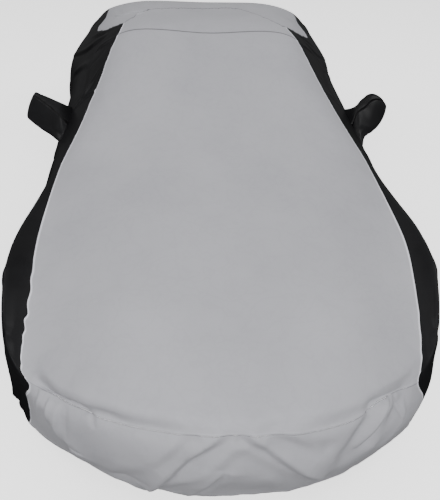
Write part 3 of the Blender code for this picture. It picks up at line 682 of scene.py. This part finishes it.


# Edges of panels. The gathers have a height, a length and a depth, and run along the
# axis. The last three columns are painted light: a painted shade that darkens the colour
# along the groove, the width of that shade, and a painted highlight that lightens the
# colour of the raised band beside the groove.
Edge = namedtuple("Edge", "kind height length depth seed axis dusk dusk_width gleam")
NO_EDGE = None
HEM_FRONT = Edge("hem", 0.0004, 0.055, 0.05, 35, 0, 0.85, 0.006, 0.0)
HEM_REAR = Edge("hem", 0.0026, 0.05, 0.06, 36, 0, 0.6, 0.004, 0.0)
HEM_SIDE = Edge("hem", 0.002, 0.05, 0.055, 37, 1, 0.3, 0.004, 0.0)
SIDE_SEAM = Edge("welt", 0.001, 0.052, 0.022, 31, 1, 0.2, 0.001, 0.9)
SKIRT_EDGE_HIGH = Edge("welt", 0.001, 0.061, 0.02, 32, 0, 0.35, 0.002, 0.08)
HEADER_EDGE_LOW = Edge("welt", 0.0006, 0.055, 0.015, 33, 0, 0.95, 0.0058, 0.0)
ARCH_EDGE_FRONT = Edge("welt", 0.0034, 0.058, 0.034, 34, 0, 0.95, 0.0085, 0.0)
# The other panel at a seam has the same gathers, so that the two edges meet.
SIDE_SEAM_BLACK = SIDE_SEAM._replace(kind="plain", dusk=0.5, dusk_width=0.003, gleam=0.0)
SKIRT_EDGE_LOW = SKIRT_EDGE_HIGH._replace(kind="plain", gleam=0.0)
HEADER_EDGE_HIGH = HEADER_EDGE_LOW._replace(kind="plain")
ARCH_EDGE_REAR = ARCH_EDGE_FRONT._replace(kind="plain")

# Distances from an edge at which its relief needs a line of points.
SEAM_OFFSETS = [
    0, 0.001, 0.0022, 0.0034, 0.0045, 0.0056, 0.007, 0.0088, 0.01, 0.0116, 0.0145, 0.019,
]
HEM_OFFSETS = [0, 0.002, 0.008, 0.015, 0.0182, 0.02, 0.0212, 0.0226, 0.025, 0.03]


def shares_between(length, step, first, last):
    """Shares of a panel's width, with fine steps at the edges that have a seam or hem."""
    offsets = {"welt": SEAM_OFFSETS, "plain": SEAM_OFFSETS, "hem": HEM_OFFSETS}
    low, back = (np.array(offsets[edge.kind] if edge else [0]) / length for edge in (first, last))
    high = 1 - back[::-1]
    count = max(2, round((high[0] - low[-1]) * length / step))
    return np.concatenate([low[:-1], np.linspace(low[-1], high[0], count + 1), high[1:]])


def arcs(points, axis):
    """Distances from the first edge and from the last one, along the grid's lines."""
    run = np.linalg.norm(np.diff(points, axis=axis), axis=2)
    start = np.insert(np.cumsum(run, axis=axis), 0, 0, axis=axis)
    return start, start.take([-1], axis=axis) - start


# "arcs" gives the distances from the first row, last row, left and right column.
Panel = namedtuple("Panel", "points normals arcs shade")
EDGE_NAMES = ("first", "last", "left", "right")
RELIEF = {"welt": welt, "plain": plain_edge, "hem": hem_fold}


def panel_grid(locate, length, width, step, edges):
    """Points of a panel's outer face. The edges are in the order of EDGE_NAMES."""
    downs = shares_between(length, step, edges[0], edges[1])
    acrosses = shares_between(width, step, edges[2], edges[3])
    stations, reaches = locate(*np.meshgrid(downs, acrosses, indexing="ij"))
    base = smooth_places(stations, reaches)
    normals = grid_normals(base)
    normals *= np.sign(np.sum(normals * outward(stations, reaches)))
    flat, flat_normals = base.reshape(-1, 3), normals.reshape(-1, 3)
    rise = fold_rise(flat) + crease_rise(flat, flat_normals) + unevenness(flat, CAR_NOISE)
    rise += drape(flat, stations.ravel(), reaches.ravel())
    rise = rise.reshape(stations.shape)
    distances = arcs(base, 0) + arcs(base, 1)
    shade = np.zeros(stations.shape)
    for edge, distance in zip(edges, distances):
        if edge is not None:
            rise = rise + pucker(distance, base[..., edge.axis], edge)
            rise = rise + RELIEF[edge.kind](distance)
            # Painted light in the colour: painted shade along the edge's groove, painted highlight on
            # its raised band.
            shade += edge.dusk * bell(distance, edge.dusk_width)
            shade -= edge.gleam * seam_band(distance)
    points = drawn_in(base + rise[..., None] * normals, edges)
    final_normals = grid_normals(points)
    final_normals *= np.sign(np.sum(final_normals * normals))
    return Panel(points, final_normals, dict(zip(EDGE_NAMES, distances)), np.clip(shade, -1, 1))


def grid_normals(points):
    return unit(np.cross(np.gradient(points, axis=1), np.gradient(points, axis=0)))


def drawn_in(points, edges):
    """Keep a hair's breadth between neighbouring panels."""
    result = points.copy()
    for edge, here, inner in (
        (edges[0], np.s_[0], np.s_[1]),
        (edges[1], np.s_[-1], np.s_[-2]),
        (edges[2], np.s_[:, 0], np.s_[:, 1]),
        (edges[3], np.s_[:, -1], np.s_[:, -2]),
    ):
        if edge is not None and edge.kind != "hem":
            result[here] += EDGE_GAP * unit(points[inner] - points[here])
    return result


# ---- meshes

def grid_faces(rows, columns, flip=False):
    corner = (np.arange(rows - 1)[:, None] * columns + np.arange(columns - 1)).ravel()
    faces = np.stack([corner, corner + 1, corner + columns + 1, corner + columns], axis=1)
    return faces[:, ::-1] if flip else faces


def new_mesh(name, vertices, faces, material, values=None, places=None):
    mesh = bpy.data.meshes.new(name)
    mesh.from_pydata(np.asarray(vertices).tolist(), [], [list(map(int, face)) for face in faces])
    mesh.update()
    mesh.shade_smooth()
    mesh.materials.append(material)
    if values is not None:
        # seam_shade holds painted shade (above 0) and painted highlight (below 0) for the colour.
        layer = mesh.attributes.new("seam_shade", "FLOAT", "POINT")
        layer.data.foreach_set("value", np.asarray(values, np.float32).ravel())
    if places is not None:
        loops = np.zeros(len(mesh.loops), int)
        mesh.loops.foreach_get("vertex_index", loops)
        uv = mesh.uv_layers.new(name="cloth")
        uv.uv.foreach_set("vector", np.asarray(places, np.float32)[loops].ravel())
    thing = bpy.data.objects.new(name, mesh)
    bpy.context.scene.collection.objects.link(thing)
    return thing


def thicken(thing):
    """Give an open sheet the thickness of the cloth, inward from its outer face."""
    modifier = thing.modifiers.new("cloth", "SOLIDIFY")
    modifier.thickness = CLOTH
    modifier.offset = -1
    apply_modifiers(thing)


def apply_modifiers(thing):
    bpy.context.view_layer.update()
    graph = bpy.context.evaluated_depsgraph_get()
    mesh = bpy.data.meshes.new_from_object(thing.evaluated_get(graph))
    thing.modifiers.clear()
    old = thing.data
    thing.data = mesh
    bpy.data.meshes.remove(old)


def cloth_panel(name, node, panel, material, flip=False):
    rows, columns = panel.points.shape[:2]
    places = np.stack([panel.arcs["left"].ravel(), panel.arcs["first"].ravel()], axis=1)
    thing = new_mesh(
        name, panel.points.reshape(-1, 3), grid_faces(rows, columns, flip), material,
        panel.shade, places,
    )
    thicken(thing)
    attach(thing, "root")
    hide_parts(node)
    return thing


# ---- stitches

Stitch = namedtuple("Stitch", "length gap width height sink")
STITCH = Stitch(0.0042, 0.0018, 0.0011, 0.0006, 0.0003)
STITCH_FACES = [
    (0, 1, 2), (0, 2, 3), (0, 3, 1),
    (1, 4, 5, 2), (2, 5, 6, 3), (3, 6, 4, 1),
    (4, 7, 5), (5, 7, 6), (6, 7, 4),
]
STITCH_POINTS = 8


def stitch_run(points, normals):
    """Points of small lens-shaped stitches laid end to end along a line on the cloth."""
    run = np.linalg.norm(np.diff(points, axis=0), axis=1)
    arc = np.concatenate([[0], np.cumsum(run)])
    pitch = STITCH.length + STITCH.gap
    starts = np.arange(pitch, arc[-1] - pitch, pitch)

    def at(where, values):
        return np.stack([np.interp(where, arc, values[:, axis]) for axis in range(3)], axis=1)

    first, second = at(starts, points), at(starts + STITCH.length, points)
    middle = (first + second) / 2
    up = unit(at(starts + STITCH.length / 2, normals))
    side = unit(np.cross(second - first, up)) * STITCH.width / 2
    lift = up * STITCH.height
    sink = -up * STITCH.sink
    fifth = (second - first) / 5
    vertices = [
        first + sink,
        middle - fifth - side + sink, middle - fifth + lift, middle - fifth + side + sink,
        middle + fifth - side + sink, middle + fifth + lift, middle + fifth + side + sink,
        second + sink,
    ]
    return np.stack(vertices, axis=1).reshape(-1, 3)


def stitches(name, runs, material):
    """One joined mesh of all the stitches along several lines."""
    vertices = np.concatenate([stitch_run(points, normals) for points, normals in runs])
    faces = [
        tuple(base + index for index in face)
        for base in range(0, len(vertices), STITCH_POINTS) for face in STITCH_FACES
    ]
    thing = new_mesh(name, vertices, faces, material)
    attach(thing, "root")
    return thing


def line_at(panel, edge_name, offset):
    """A line of a panel that runs at an offset from one of its edges."""
    arc = panel.arcs[edge_name]
    if edge_name in ("left", "right"):
        column = int(np.argmin(np.abs(arc.mean(axis=0) - offset)))
        return panel.points[:, column], panel.normals[:, column]
    row = int(np.argmin(np.abs(np.median(arc, axis=1) - offset)))
    return panel.points[row], panel.normals[row]


# ---- materials

def feed(tree, target, inputs):
    """Give each input of a shader node a constant, or a link from a socket."""
    for name, value in inputs.items():
        if isinstance(value, bpy.types.NodeSocket):
            tree.links.new(value, target.inputs[name])
        else:
            target.inputs[name].default_value = value


def node(tree, kind, output, inputs=None, **settings):
    """An output of a new shader node with these settings and inputs."""
    made = tree.nodes.new("ShaderNode" + kind)
    for name, value in settings.items():
        setattr(made, name, value)
    feed(tree, made, inputs or {})
    return made.outputs[output]


def new_material(name):
    material = bpy.data.materials.new(name)
    material.use_nodes = True
    tree = material.node_tree
    return material, tree, tree.nodes["Principled BSDF"]


THREAD_WAVES = 3.2
SLUB_SHARE = 0.35
SEAM_SHADE_FULL = 0.94
ROUGHNESS_RANGE = 0.07


def cloth_material(name, dark, light, roughness, specular, coat, thread, bump, sheen, crease_shade):
    """Woven cloth: threads both ways, uneven colour, painted shade along faint crease lines, painted
    shade and highlight at seams.
    """
    material, tree, shader = new_material(name)
    cloth_place = node(tree, "UVMap", "UV", uv_map="cloth")
    body_place = node(tree, "TexCoord", "Object")

    def threads(direction):
        return node(tree, "TexWave", "Fac", {
            "Vector": cloth_place, "Scale": 1 / thread / THREAD_WAVES,
            "Distortion": 1.2, "Detail": 1.0, "Detail Scale": 0.4,
        }, bands_direction=direction)

    def noise(output, scale, detail, fineness=0.5):
        return node(tree, "TexNoise", output, {
            "Vector": body_place, "Scale": scale, "Detail": detail, "Roughness": fineness,
        })

    def ranged(value, limits):
        return node(tree, "MapRange", "Result", {"Value": value, **limits})

    woven = node(tree, "Math", "Value", {0: threads("X"), 1: threads("Y")}, operation="MAXIMUM")
    patches = noise("Fac", 2.6, 3.0)
    slubs = noise("Fac", 260.0, 2.0)
    swirl = noise("Color", 4.0, 4.0)
    crumple = noise("Fac", 38.0, 4.0, 0.6)

    warped = node(tree, "VectorMath", "Vector", {0: body_place, 1: swirl}, operation="ADD")
    marks = node(tree, "TexVoronoi", "Distance", {"Vector": warped, "Scale": 5.5},
                 feature="DISTANCE_TO_EDGE")
    mark_line = ranged(marks, {"From Max": 0.1, "To Min": 1.0, "To Max": 0.0})

    blend = node(tree, "Math", "Value", {0: slubs, 1: SLUB_SHARE, 2: patches},
                 operation="MULTIPLY_ADD")
    mix = node(tree, "MixRGB", "Color", {
        "Fac": ranged(blend, {"From Min": 0.42, "From Max": 0.92}),
        "Color1": (*dark, 1), "Color2": (*light, 1),
    }, blend_type="MIX")
    # Painted shade: the colour is darkened along a net of faint crease lines.
    crease_shaded = node(tree, "MixRGB", "Color", {
        "Fac": mark_line, "Color1": mix, "Color2": (1 - crease_shade, 1 - crease_shade, 1 - crease_shade, 1),
    }, blend_type="MULTIPLY")
    # Painted shade and painted highlight at seams: the colour is scaled by the seam_shade attribute.
    seam = node(tree, "Attribute", "Fac", attribute_name="seam_shade")
    seam_level = node(tree, "Math", "Value", {0: seam, 1: -SEAM_SHADE_FULL, 2: 1.0},
                      operation="MULTIPLY_ADD")
    shaded = node(tree, "VectorMath", "Vector", {0: crease_shaded, "Scale": seam_level},
                  operation="SCALE")

    weave_bump = node(tree, "Bump", "Normal", {
        "Strength": bump, "Distance": 0.0003, "Height": woven,
    })
    mark_bump = node(tree, "Bump", "Normal", {
        "Strength": 0.25, "Distance": 0.0012, "Height": crumple, "Normal": weave_bump,
    })
    feed(tree, shader, {
        "Base Color": shaded,
        "Normal": mark_bump,
        "Roughness": ranged(patches, {
            "To Min": roughness - ROUGHNESS_RANGE, "To Max": roughness + ROUGHNESS_RANGE,
        }),
        "Specular IOR Level": specular,
        "Coat Weight": coat, "Coat Roughness": 0.38,
        "Sheen Weight": sheen, "Sheen Roughness": 0.6,
    })
    return material


def thread_material(name, colour):
    """Sewing thread: fine diagonal twist and a soft shine."""
    material, tree, shader = new_material(name)
    body_place = node(tree, "TexCoord", "Object")
    twist = node(tree, "TexWave", "Fac", {"Vector": body_place, "Scale": 900.0},
                 bands_direction="DIAGONAL")
    mix = node(tree, "MixRGB", "Color", {
        "Fac": twist, "Color1": (*[0.6 * value for value in colour], 1), "Color2": (*colour, 1),
    }, blend_type="MIX")
    feed(tree, shader, {"Roughness": 0.5, "Base Color": mix})
    return material


GREY = cloth_material(
    "grey_cloth", (0.345, 0.345, 0.372), (0.392, 0.391, 0.42),
    roughness=0.78, specular=0.2, coat=0.0, thread=0.0014, bump=0.35, sheen=0.05, crease_shade=0.03,
)
BLACK = cloth_material(
    "black_cloth", (0.0048, 0.0048, 0.0054), (0.0092, 0.0092, 0.0102),
    roughness=0.55, specular=0.0, coat=0.28, thread=0.0012, bump=0.3, sheen=0.0, crease_shade=0.07,
)
GREY_THREAD = thread_material("grey_thread", (0.3, 0.3, 0.315))
BLACK_THREAD = thread_material("black_thread", (0.02, 0.02, 0.022))


# ---- the mirror pockets

def rounded_loop(corners, roundness):
    """A loop through four corners, from straight sides to an oval."""
    corners = np.array(corners, float)
    middle = corners.mean(axis=0)
    loop = []
    for index in range(4):
        start, end = corners[index], corners[(index + 1) % 4]
        for step in range(POCKET_SIDE_STEPS):
            share = step / POCKET_SIDE_STEPS
            straight = start + share * (end - start)
            angle = (share - 0.5) * math.pi / 2
            half = (end - start) / 2
            bulge = ((start + end) / 2 - middle) * math.cos(angle) + half * math.sin(angle)
            oval = middle + OVAL_FULLNESS * math.sqrt(2) * bulge
            loop.append(straight + roundness * (oval - straight))
    return np.array(loop)


def pocket_root(side_name, side):
    """The ring on the side panel from which a pocket starts, and its mean normal."""
    corners = [(station, reach, 0.0) for station, reach in POCKET_ROOT[side_name]]
    loop = rounded_loop(corners, ROOT_ROUNDNESS)
    stations, reaches = loop[:, 0], side * loop[:, 1]
    normals = outward(stations, reaches)
    base = smooth_places(stations, reaches)
    base = base + fold_rise(base)[:, None] * normals
    return base, unit(normals.mean(axis=0))


# Creases on a pocket: where on its length (0 root, 1 end) and round it (0 to 4,
# counted in corners), how wide and how high.
Dent = namedtuple("Dent", "from_row from_turn to_row to_turn spread rise")
DENTS = {
    "left": named_rows(Dent, [
        (0.0, 3.1, 0.3, 2.75, 0.01, 0.0035),
        (0.02, 3.45, 0.26, 3.25, 0.009, -0.003),
        (0.88, 0.1, 0.96, 0.95, 0.008, 0.0022),
        (0.2, 3.3, 0.8, 2.9, 0.016, 0.002),
        (0.1, 0.5, 0.55, 0.35, 0.014, 0.002),
    ]),
    "right": named_rows(Dent, [
        (0.0, 3.2, 0.28, 2.9, 0.01, 0.0035),
        (0.02, 3.55, 0.24, 3.4, 0.009, -0.003),
        (0.25, 3.4, 0.75, 3.05, 0.015, 0.0022),
        (0.1, 0.55, 0.5, 0.45, 0.013, -0.002),
    ]),
}
DENT_STEPS = 6
POCKET_NECK_SHARE = 0.4
# Painted shade along a pocket's seams: how dark, and over what width.
POCKET_PAINTED_SHADE = 0.9
POCKET_PAINTED_SHADE_WIDTH = 0.003
POCKET_WELT = 0.0012
POCKET_WELT_WIDTH = 0.004
POCKET_WEAVE_SLANT = (0.6, 0.2)
POCKET_STITCH_COLUMN = 3
POCKET_STITCH_ROWS = np.s_[4:-2]


def pocket_grid(side_name, side):
    """Rings of a pocket from its root to its end, one column for each step round it."""
    root, normal = pocket_root(side_name, side)
    shift = np.array([0.0, ORIGIN_BEHIND_NOSE, -GROUND])
    rings = [root + POCKET_STAND * normal]
    for *corners, roundness in POCKET_RINGS[side_name]:
        rings.append(rounded_loop(np.array(corners) * (side, 1, 1) - shift, roundness))
    rings = np.array(rings)
    spans = np.linalg.norm(np.diff(rings.mean(axis=1), axis=0), axis=1)
    knots = np.concatenate([[0], np.cumsum(spans)])
    rows = np.linspace(0, knots[-1], POCKET_ROWS)
    points = spline(rows, knots, rings.reshape(len(rings), -1)).reshape(len(rows), -1, 3)
    neck = [root - POCKET_NECK * normal, root - POCKET_NECK_SHARE * POCKET_NECK * normal]
    return np.concatenate([neck, points])


def pocket_relief(side_name, points, normals):
    """The pocket's points, lifted by uneven cloth and its creases."""
    rows, count = points.shape[:2]
    flat = points.reshape(-1, 3)
    rise = unevenness(flat, POCKET_NOISE)
    for dent in DENTS[side_name]:
        shares = np.linspace(0, 1, DENT_STEPS + 1)
        at_row = (dent.from_row + shares * (dent.to_row - dent.from_row)) * (rows - 1)
        turn = dent.from_turn + shares * (dent.to_turn - dent.from_turn)
        column = (turn * POCKET_SIDE_STEPS).round().astype(int) % count
        line = points[at_row.round().astype(int), column]
        rise = rise + dent.rise * bell(line_distance(flat, line)[0], dent.spread)
    return points + rise.reshape(rows, count, 1) * normals


# Painted shade: the colour darkens near a pocket's seams.
def pocket_shade(distance):
    return POCKET_PAINTED_SHADE * bell(distance, POCKET_PAINTED_SHADE_WIDTH)


def pocket_rings(side_name, side):
    """All rings of a pocket with its domed end, its tip, and the normals of its rows."""
    points = pocket_grid(side_name, side)
    closed = np.concatenate([points[:, -1:], points, points[:, :1]], axis=1)
    normals = grid_normals(closed)[:, 1:-1]
    normals *= np.sign(np.sum(normals * (points - points.mean(axis=1, keepdims=True))))
    points = pocket_relief(side_name, points, normals)
    end_middle = points[-1].mean(axis=0)
    way_out = unit(end_middle - points[-POCKET_END_SPAN].mean(axis=0))
    dome = [
        end_middle + math.cos(angle) * (points[-1] - end_middle)
        + POCKET_TIP * math.sin(angle) * way_out
        for angle in np.radians(POCKET_DOME_ANGLES)
    ]
    rings = np.concatenate([points, np.array(dome)])
    for _ in range(POCKET_END_SOFTNESS[side_name]):
        soft = rings[POCKET_END_ROW:]
        soft[1:-1] = soft[1:-1] / 2 + (soft[:-2] + soft[2:]) / 4
    return rings, end_middle + POCKET_TIP * way_out, normals


def front_piece(name, side, rings, rows, tip, material):
    """The piece that wraps a pocket's front, underside and back, and closes its end."""
    count = rings.shape[1]
    vertices, faces = [], []
    index_of = {}

    def vertex(row, column):
        key = (row, column % count)
        if key not in index_of:
            index_of[key] = len(vertices)
            vertices.append(rings[key])
        return index_of[key]

    for row in range(len(rings) - 1):
        for column in range(POCKET_SIDE_STEPS if row < rows - 1 else 0, count):
            faces.append((vertex(row, column), vertex(row, column + 1),
                          vertex(row + 1, column + 1), vertex(row + 1, column)))
    vertices.append(tip)
    for column in range(count):
        faces.append((vertex(len(rings) - 1, column), vertex(len(rings) - 1, column + 1),
                      len(vertices) - 1))
    if side > 0:
        faces = [face[::-1] for face in faces]
    vertices = np.array(vertices)
    places = vertices[:, [0, 2]] + vertices[:, [1, 1]] * POCKET_WEAVE_SLANT
    seam_points = np.concatenate([rings[:rows, 0], rings[:rows, POCKET_SIDE_STEPS]])
    distance = np.min(np.linalg.norm(vertices[:, None] - seam_points[None], axis=2), axis=1)
    return new_mesh(name, vertices, faces, material, pocket_shade(distance), places)


def pocket(side_name, side, material):
    """Both pieces of a mirror pocket, and the lines of its stitches."""
    rings, tip, normals = pocket_rings(side_name, side)
    points = rings[:len(normals)]
    front = front_piece(f"mirror_pocket_{side_name}_front_cloth", side, rings, len(points),
                        tip, material)
    thicken(front)

    # The top piece lies between the upper edges of the front piece and stands proud.
    top = points[:, : POCKET_SIDE_STEPS + 1].copy()
    top_normals = normals[:, : POCKET_SIDE_STEPS + 1]
    across = arcs(top, 1)
    distance = np.minimum(across[0], across[1])
    rise = POCKET_WELT * smooth_step(0.0, POCKET_WELT_WIDTH, distance)
    top = top + rise[..., None] * top_normals
    inward = (top[:, 1] - top[:, 0], top[:, -2] - top[:, -1])
    top[:, 0] += EDGE_GAP * unit(inward[0])
    top[:, -1] += EDGE_GAP * unit(inward[1])
    top[-1] += EDGE_GAP * unit(top[-2] - top[-1])
    top_places = np.stack([across[0].ravel(), arcs(top, 0)[0].ravel()], axis=1)
    piece = new_mesh(
        f"mirror_pocket_{side_name}_top_cloth", top.reshape(-1, 3),
        grid_faces(*top.shape[:2], flip=side > 0), material, pocket_shade(distance), top_places,
    )
    thicken(piece)
    for thing, node_name in ((front, "front"), (piece, "top")):
        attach(thing, "root")
        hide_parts(f"mirror_pocket_{side_name}_{node_name}")
    runs = [
        (surface[POCKET_STITCH_ROWS, column], surface_normals[POCKET_STITCH_ROWS, column])
        for surface, surface_normals, column in (
            (points, normals, POCKET_SIDE_STEPS + 1),
            (points, normals, -1),
            (top, top_normals, POCKET_STITCH_COLUMN),
        )
    ]
    return front, piece, runs


def hole_cutter(side_name, side):
    """A short plug in the shape of a pocket's root, which cuts the side panel."""
    root, normal = pocket_root(side_name, side)
    reach = HOLE_CUTTER_REACH * normal
    vertices = np.concatenate([root - reach, root + reach])
    count = len(root)
    faces = [tuple(range(count)), tuple(range(2 * count - 1, count - 1, -1))]
    for index in range(count):
        following = (index + 1) % count
        faces.append((index, index + count, following + count, following))
    cutter = new_mesh(f"{side_name}_hole", vertices, faces, BLACK)
    first, second, third = root[::POCKET_SIDE_STEPS][:3]
    turning = np.dot(np.cross(second - first, third - second), normal)
    if turning > 0:
        cutter.data.flip_normals()
    return cutter


# ---- build

# Distances of stitch lines from the edge: in the middle of a seam's band, at the far
# side of the band, and on the line of a hem.
SEAM_STITCHES = 0.0045
BAND_STITCHES = 0.0088
HEM_STITCHES = 0.02
STEPS = {"top": 0.0125, "skirt": 0.0095, "band": 0.011, "rear": 0.0135, "side": 0.0125}

top = panel_grid(top_map, length=2.75, width=1.75, step=STEPS["top"],
                 edges=(SKIRT_EDGE_HIGH, HEADER_EDGE_LOW, SIDE_SEAM, SIDE_SEAM))
skirt = panel_grid(skirt_map, length=0.72, width=2.1, step=STEPS["skirt"],
                   edges=(HEM_FRONT, SKIRT_EDGE_LOW, SIDE_SEAM, SIDE_SEAM))
band = panel_grid(band_map, length=0.42, width=1.45, step=STEPS["band"],
                  edges=(HEADER_EDGE_HIGH, ARCH_EDGE_FRONT, SIDE_SEAM, SIDE_SEAM))
rear = panel_grid(rear_map, length=1.95, width=2.2, step=STEPS["rear"],
                  edges=(ARCH_EDGE_REAR, HEM_REAR, SIDE_SEAM, SIDE_SEAM))
sides = {
    name: panel_grid(side_map(side), length=4.6, width=0.8, step=STEPS["side"],
                     edges=(NO_EDGE, NO_EDGE, SIDE_SEAM_BLACK, HEM_SIDE))
    for name, side in (("left", -1), ("right", 1))
}

Cut = namedtuple("Cut", "width length area")
GREY_PANELS = [
    ("top_panel", top, Cut(1.88, 2.74, 4.34)),
    ("front_skirt", skirt, Cut(1.95, 0.53, 0.84)),
    ("roof_band", band, Cut(1.50, 0.62, 0.52)),
    ("rear_panel", rear, Cut(2.62, 2.32, 3.22)),
]
for panel_name, panel, size in GREY_PANELS:
    cloth_panel(f"{panel_name}_cloth", panel_name, panel, GREY)

black_runs = []
for side_name, side in (("left", -1), ("right", 1)):
    panel = sides[side_name]
    thing = cloth_panel(f"side_panel_{side_name}_cloth", f"side_panel_{side_name}", panel,
                        BLACK, flip=side < 0)
    cutter = hole_cutter(side_name, side)
    modifier = thing.modifiers.new("mirror_hole", "BOOLEAN")
    modifier.operation = "DIFFERENCE"
    modifier.object = cutter
    apply_modifiers(thing)
    thing.data.shade_smooth()
    bpy.data.objects.remove(cutter)
    pocket_front, pocket_top, runs = pocket(side_name, side, BLACK)
    black_runs += runs
    black_runs.append(line_at(panel, "right", HEM_STITCHES))

grey_runs = [line_at(panel, edge_name, offset) for panel, offset, edge_names in (
    (top, SEAM_STITCHES, ("left", "right")),
    (top, BAND_STITCHES, ("left", "right")),
    (top, SEAM_STITCHES, ("first", "last")),
    (skirt, SEAM_STITCHES, ("left", "right")),
    (skirt, BAND_STITCHES, ("left", "right")),
    (skirt, HEM_STITCHES, ("first",)),
    (band, SEAM_STITCHES, ("last", "left", "right")),
    (rear, SEAM_STITCHES, ("left", "right")),
    (rear, HEM_STITCHES, ("last",)),
) for edge_name in edge_names]
stitches("grey_stitches", grey_runs, GREY_THREAD)
stitches("black_stitches", black_runs, BLACK_THREAD)


# ---- stage, light, camera

floor_look, floor_tree, floor_shader = new_material("floor")
feed(floor_tree, floor_shader, {
    "Base Color": (0.93, 0.93, 0.93, 1), "Roughness": 0.9, "Specular IOR Level": 0.1,
    "Emission Color": (1, 1, 1, 1), "Emission Strength": 1.3,
})
FLOOR_HALF = 40.0
floor_corners = [
    (x * FLOOR_HALF, y * FLOOR_HALF, GROUND) for x, y in ((-1, -1), (1, -1), (1, 1), (-1, 1))
]
floor = new_mesh("floor", floor_corners, [(0, 1, 2, 3)], floor_look)
floor.visible_diffuse = False
floor.visible_glossy = False

# The studio's own light: even above the horizon, dim below it.
world = bpy.data.worlds.new("studio")
bpy.context.scene.world = world
world.use_nodes = True
sky_tree = world.node_tree
sky_height = node(sky_tree, "SeparateXYZ", "Z", {
    "Vector": node(sky_tree, "TexCoord", "Generated"),
})
feed(sky_tree, sky_tree.nodes["Background"], {
    "Color": (1.0, 1.0, 1.0, 1),
    "Strength": node(sky_tree, "MapRange", "Result", {
        "Value": sky_height, "From Min": -0.25, "From Max": 0.0, "To Min": 0.04, "To Max": 0.36,
    }),
})


def softbox(name, place, target, size, power):
    light = bpy.data.lights.new(name, "AREA")
    light.shape = "RECTANGLE"
    light.size, light.size_y = size
    light.energy = power
    thing = bpy.data.objects.new(name, light)
    bpy.context.scene.collection.objects.link(thing)
    thing.location = place
    thing.rotation_mode = "QUATERNION"
    thing.rotation_quaternion = (Vector(target) - Vector(place)).to_track_quat("-Z", "Y")


softbox("overhead", (-0.2, 0.2, 5.4), (0.0, 0.2, 0.0), (6.0, 6.5), 98.0)
softbox("key", (-0.6, -7.0, 10.8), (0.0, -0.4, -0.5), (2.0, 2.0), 190.0)
softbox("front", (-0.5, -9.0, 4.2), (0.0, -0.8, -0.7), (4.5, 2.4), 740.0)
softbox("left", (-6.5, 0.5, 4.6), (-0.9, 0.0, -0.3), (3.0, 3.0), 120.0)
softbox("right", (6.5, 0.5, 4.6), (0.9, 0.0, -0.3), (3.0, 3.0), 150.0)

# The camera of the photo: place, and its turn, dip and roll in radians.
CAMERA_PLACE = Vector((-0.214, -4.194, 1.201))
CAMERA_TURN, CAMERA_DIP, CAMERA_ROLL = 0.0935, 0.6481, -0.0511
CAMERA_LENS, CAMERA_SENSOR = 43.2, 36.0
forward = Vector((
    math.sin(CAMERA_TURN) * math.cos(CAMERA_DIP),
    math.cos(CAMERA_TURN) * math.cos(CAMERA_DIP),
    -math.sin(CAMERA_DIP),
))
level_right = Vector((math.cos(CAMERA_TURN), -math.sin(CAMERA_TURN), 0.0))
level_down = forward.cross(level_right)
right = math.cos(CAMERA_ROLL) * level_right + math.sin(CAMERA_ROLL) * level_down
down = math.cos(CAMERA_ROLL) * level_down - math.sin(CAMERA_ROLL) * level_right
camera_data = bpy.data.cameras.new("camera")
camera_data.lens = CAMERA_LENS
camera_data.sensor_width = CAMERA_SENSOR
camera = bpy.data.objects.new("camera", camera_data)
bpy.context.scene.collection.objects.link(camera)
turn = Matrix((right, -down, -forward)).transposed()
camera.matrix_world = Matrix.Translation(CAMERA_PLACE) @ turn.to_4x4()
bpy.context.scene.camera = camera
